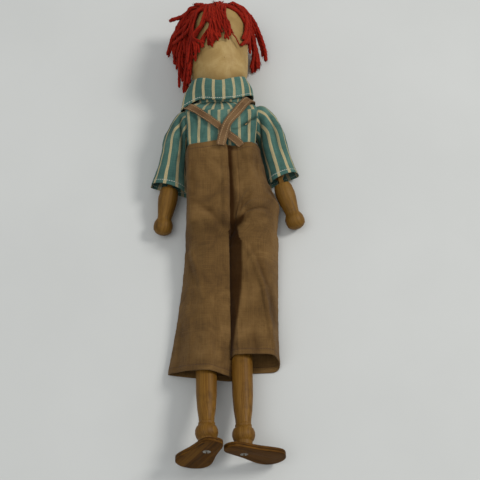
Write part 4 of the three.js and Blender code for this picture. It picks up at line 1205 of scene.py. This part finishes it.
for i in range(22):
    x = -22 + 42 * (i + 0.5) / 22
    root = crown_point(x * 0.55, -6 + rng.normal(), 263)
    tip = body_point(np.array([x * 1.15 + rng.normal() * 2, 226 + rng.normal() * 5, -36.0]))
    mid = body_point(np.array([x * 1.05, 250.0, -30.0]))
    LOCKS.append(lock([root, mid, tip], rng.uniform(1.3, 1.7), "right" if x > 0 else "left"))
SLOTS = [([(-25.4, 243), (-26.8, 237), (-28.4, 231), (-30, 224)], 3.7),
         ([(-18.5, 222), (-22, 217), (-26, 213), (-30, 208)], 3.2),
         ([(15, 238), (17, 232), (19, 222), (17, 212)], 4.5)]


def comb(lock_):
    """Fine line of one lock: splined, a little wavy, out of the head and beside the bare slots."""
    pts = lock_["points"]
    line = spline(pts, np.linspace(0, len(pts) - 1, 26))
    t = np.linspace(0, 1, 26)[:, None]
    wobble = sum(rng.normal(size=3) * np.sin(t * math.pi * f + rng.uniform(0, TAU)) for f in (1.4, 2.7, 4.3))
    line = line + wobble * lock_["spread"] * np.minimum(t * 3, 1)
    return clear_head(part_slots(line), lock_["radius"])


def part_slots(line):
    """Moves a strand to one side of each bare slot on the back of the head."""
    line = line.copy()
    for path, reach in SLOTS:
        path = spline(path, np.linspace(0, len(path) - 1, 24))
        gaps = np.linalg.norm(path[:, None] - line[None, :, :2], axis=2)
        near, gap = gaps.argmin(0), gaps.min(0)
        hit = (gap < reach + 1.4) & (line[:, 2] > 50)
        if hit.any():
            off = line[:, 0] - path[near, 0]
            way = 1.0 if off[hit].sum() > 0 else -1.0
            room = np.maximum((reach + 1.4) ** 2 - (line[:, 1] - path[near, 1]) ** 2, 0)
            goal = path[near, 0] + way * np.sqrt(room)
            line[hit, 0] = goal[hit]
    return line


def untangle(lines, radii, rounds=14):
    """Moves strands that share the same place apart, keeping them on the head and the floor."""
    who = np.repeat(np.arange(len(lines)), [len(l) for l in lines])
    p = np.concatenate(lines)
    r = np.repeat(radii, [len(l) for l in lines])
    root = np.concatenate([np.arange(len(l)) < 3 for l in lines])
    for _ in range(rounds):
        tree = kdtree.KDTree(len(p))
        for i, co in enumerate(p):
            tree.insert(co, i)
        tree.balance()
        push = np.zeros_like(p)
        for i, co in enumerate(p):
            if root[i]:
                continue
            for other, j, d in tree.find_range(co, 3.6):
                if who[j] == who[i] or d < 1e-6:
                    continue
                want = (r[i] + r[j]) * 0.86
                if d < want:
                    push[i] += (co - np.array(other)) / d * (want - d) * 0.3
        size = np.linalg.norm(push, axis=1, keepdims=True)
        p = p + push * np.minimum(1, 1.2 / np.maximum(size, 1e-9))
        smoothed = p.copy()
        inner = (who[1:-1] == who[:-2]) & (who[1:-1] == who[2:])
        smoothed[1:-1][inner] = (0.6 * p[1:-1] + 0.2 * p[:-2] + 0.2 * p[2:])[inner]
        p = smoothed
        for k in range(len(lines)):
            p[who == k] = clear_head(part_slots(p[who == k]), radii[k])
    return [p[who == k] for k in range(len(lines))]


def tube(line, radius, sides=10, start=0.0, fine=70, taper=0.55):
    """Points and cloth coordinates of a yarn tube along a line, closing in at its tip."""
    c = spline(line, np.linspace(0, len(line) - 1, fine))
    along = np.gradient(c, axis=0)
    along /= np.maximum(np.linalg.norm(along, axis=1, keepdims=True), 1e-9)
    side = np.cross(along[0], (0.3, 0.2, 0.93))
    sides_v = []
    for a in along:
        side = side - (side @ a) * a
        side = side / np.linalg.norm(side)
        sides_v.append(side)
    n1 = np.array(sides_v)
    n2 = np.cross(along, n1)
    run = run_along(c)
    left = run[-1] - run
    r = radius * (1 + 0.07 * np.sin(run * 0.7 + start) + 0.05 * np.sin(run * 1.9 + start * 2))
    r = r * (taper + (1 - taper) * np.clip(left / (radius * 2.2), 0, 1) ** 0.5)
    r = r * np.clip(left / (radius * 0.5), 0.12, 1)
    a = np.arange(sides) * TAU / sides
    ply = 1 + 0.09 * np.cos(3 * (a[None] + run[:, None] * 0.38) + start)
    ring = n1[:, None] * np.cos(a)[None, :, None] + n2[:, None] * np.sin(a)[None, :, None]
    p = c[:, None] + ring * (r[:, None] * ply)[..., None]
    u = np.tile(np.arange(sides + 1) / sides, (fine, 1))
    v = np.tile(run[:, None], (1, sides + 1)) + start * 7
    return p, u, v, c, along, r


def fibres(p_line, along, radius, count, reach):
    """Loose hairs standing off a strand."""
    out = []
    for _ in range(count):
        k = int(rng.integers(2, len(p_line) - 1))
        way = rng.normal(size=3)
        way -= (way @ along[k]) * along[k] * 0.4
        way /= np.linalg.norm(way)
        base = p_line[k] + way * radius[k] * 0.8
        bend = along[k] * rng.uniform(-1, 1) * reach
        out.append(np.array([base, base + way * reach * 0.5 + bend * 0.3, base + way * reach * 0.8 + bend]))
    return out


def tip_fibres(c, along, radius, count):
    out = []
    for _ in range(count):
        off = rng.normal(size=3) * radius * 0.35
        length = rng.uniform(1.5, 4.5)
        way = along[-1] + rng.normal(size=3) * 0.32
        way /= np.linalg.norm(way)
        base = c[-5] + off
        out.append(np.array([base, base + way * length * 0.6,
                             base + way * length + rng.normal(size=3) * 0.5]))
    return out


def make_hair():
    lines = [comb(l) for l in LOCKS]
    lines = untangle(lines, np.array([l["radius"] for l in LOCKS]))
    groups = {}
    for i, (l, line) in enumerate(zip(LOCKS, lines)):
        made = groups.setdefault(l["group"], Patchwork())
        p, u, v, c, along, r = tube(line, l["radius"], start=i * 0.7)
        made.add(p, u, v, closed=True)
        hairs = fibres(c, along, r, 16, 1.9) + tip_fibres(c, along, l["radius"], 9)
        for h in hairs:
            h[:, 2] = np.maximum(h[:, 2], 0.2)
            q, hu, hv, *_ = tube(h, 0.11 if rng.random() < 0.6 else 0.17, sides=3, start=i, fine=4, taper=0.3)
            made.add(q, hu, hv, closed=True)
    for name, made in groups.items():
        obj = made.build(f"hair_{name}_strands", weld=0.0005)
        coat(obj.data, "yarn")
        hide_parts(f"hair_{name}")
        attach(obj, "head")


make_hair()

# ---------------------------------------------------------------- floor, light, camera
def make_floor():
    s = Shade("floor_board")
    p = s.place()
    broad, fine = s.noise(p, 0.004, 4.0, 0.55), s.noise(p, 0.5, 4.0, 0.6)
    colour = s.mix(s.window(broad, 0.3, 0.7), srgb(198, 199, 196), srgb(202, 203, 200))
    material = s.close(colour, 0.62, s.bump(fine, 0.04, 0.3))
    mesh = bpy.data.meshes.new("floor")
    size = 3.0
    mesh.from_pydata([(-size, -size, 0), (size, -size, 0), (size, size, 0), (-size, size, 0)], [],
                     [(0, 1, 2, 3)])
    mesh.materials.append(material)
    floor = linked("floor", mesh)


def lamp(name, place, aim, size, power, tint=(1, 1, 1)):
    data = bpy.data.lights.new(name, "AREA")
    data.shape, data.size, data.energy, data.color = "DISK", size, power, tint
    obj = linked(name, data)
    obj.location = place
    obj.rotation_euler = (Vector(aim) - Vector(place)).to_track_quat("-Z", "Y").to_euler()


make_floor()
lamp("key", (2.3, 0.8, 2.3), (0, 0, 0), 0.9, 56.0, (1.0, 0.985, 0.96))
lamp("fill", (-1.0, -0.3, 2.6), (0, 0, 0), 2.2, 19.0, (0.96, 0.98, 1.0))
world = bpy.data.worlds.new("room")
world.use_nodes = True
glow = world.node_tree.nodes["Background"].inputs
glow[0].default_value, glow[1].default_value = (0.86, 0.88, 0.9, 1), 0.55
bpy.context.scene.world = world
bpy.context.scene.view_settings.view_transform = "Standard"

CAMERA_PLACE = np.array([4.8, -477.3, 1144.1])
camera = linked("camera", bpy.data.cameras.new("camera"))
camera.location = CAMERA_PLACE * MM
camera.rotation_euler = (math.radians(22.0), 0.0, math.radians(-1.235))
camera.data.lens, camera.data.sensor_width = 81.2, 36.0
bpy.context.scene.camera = camera
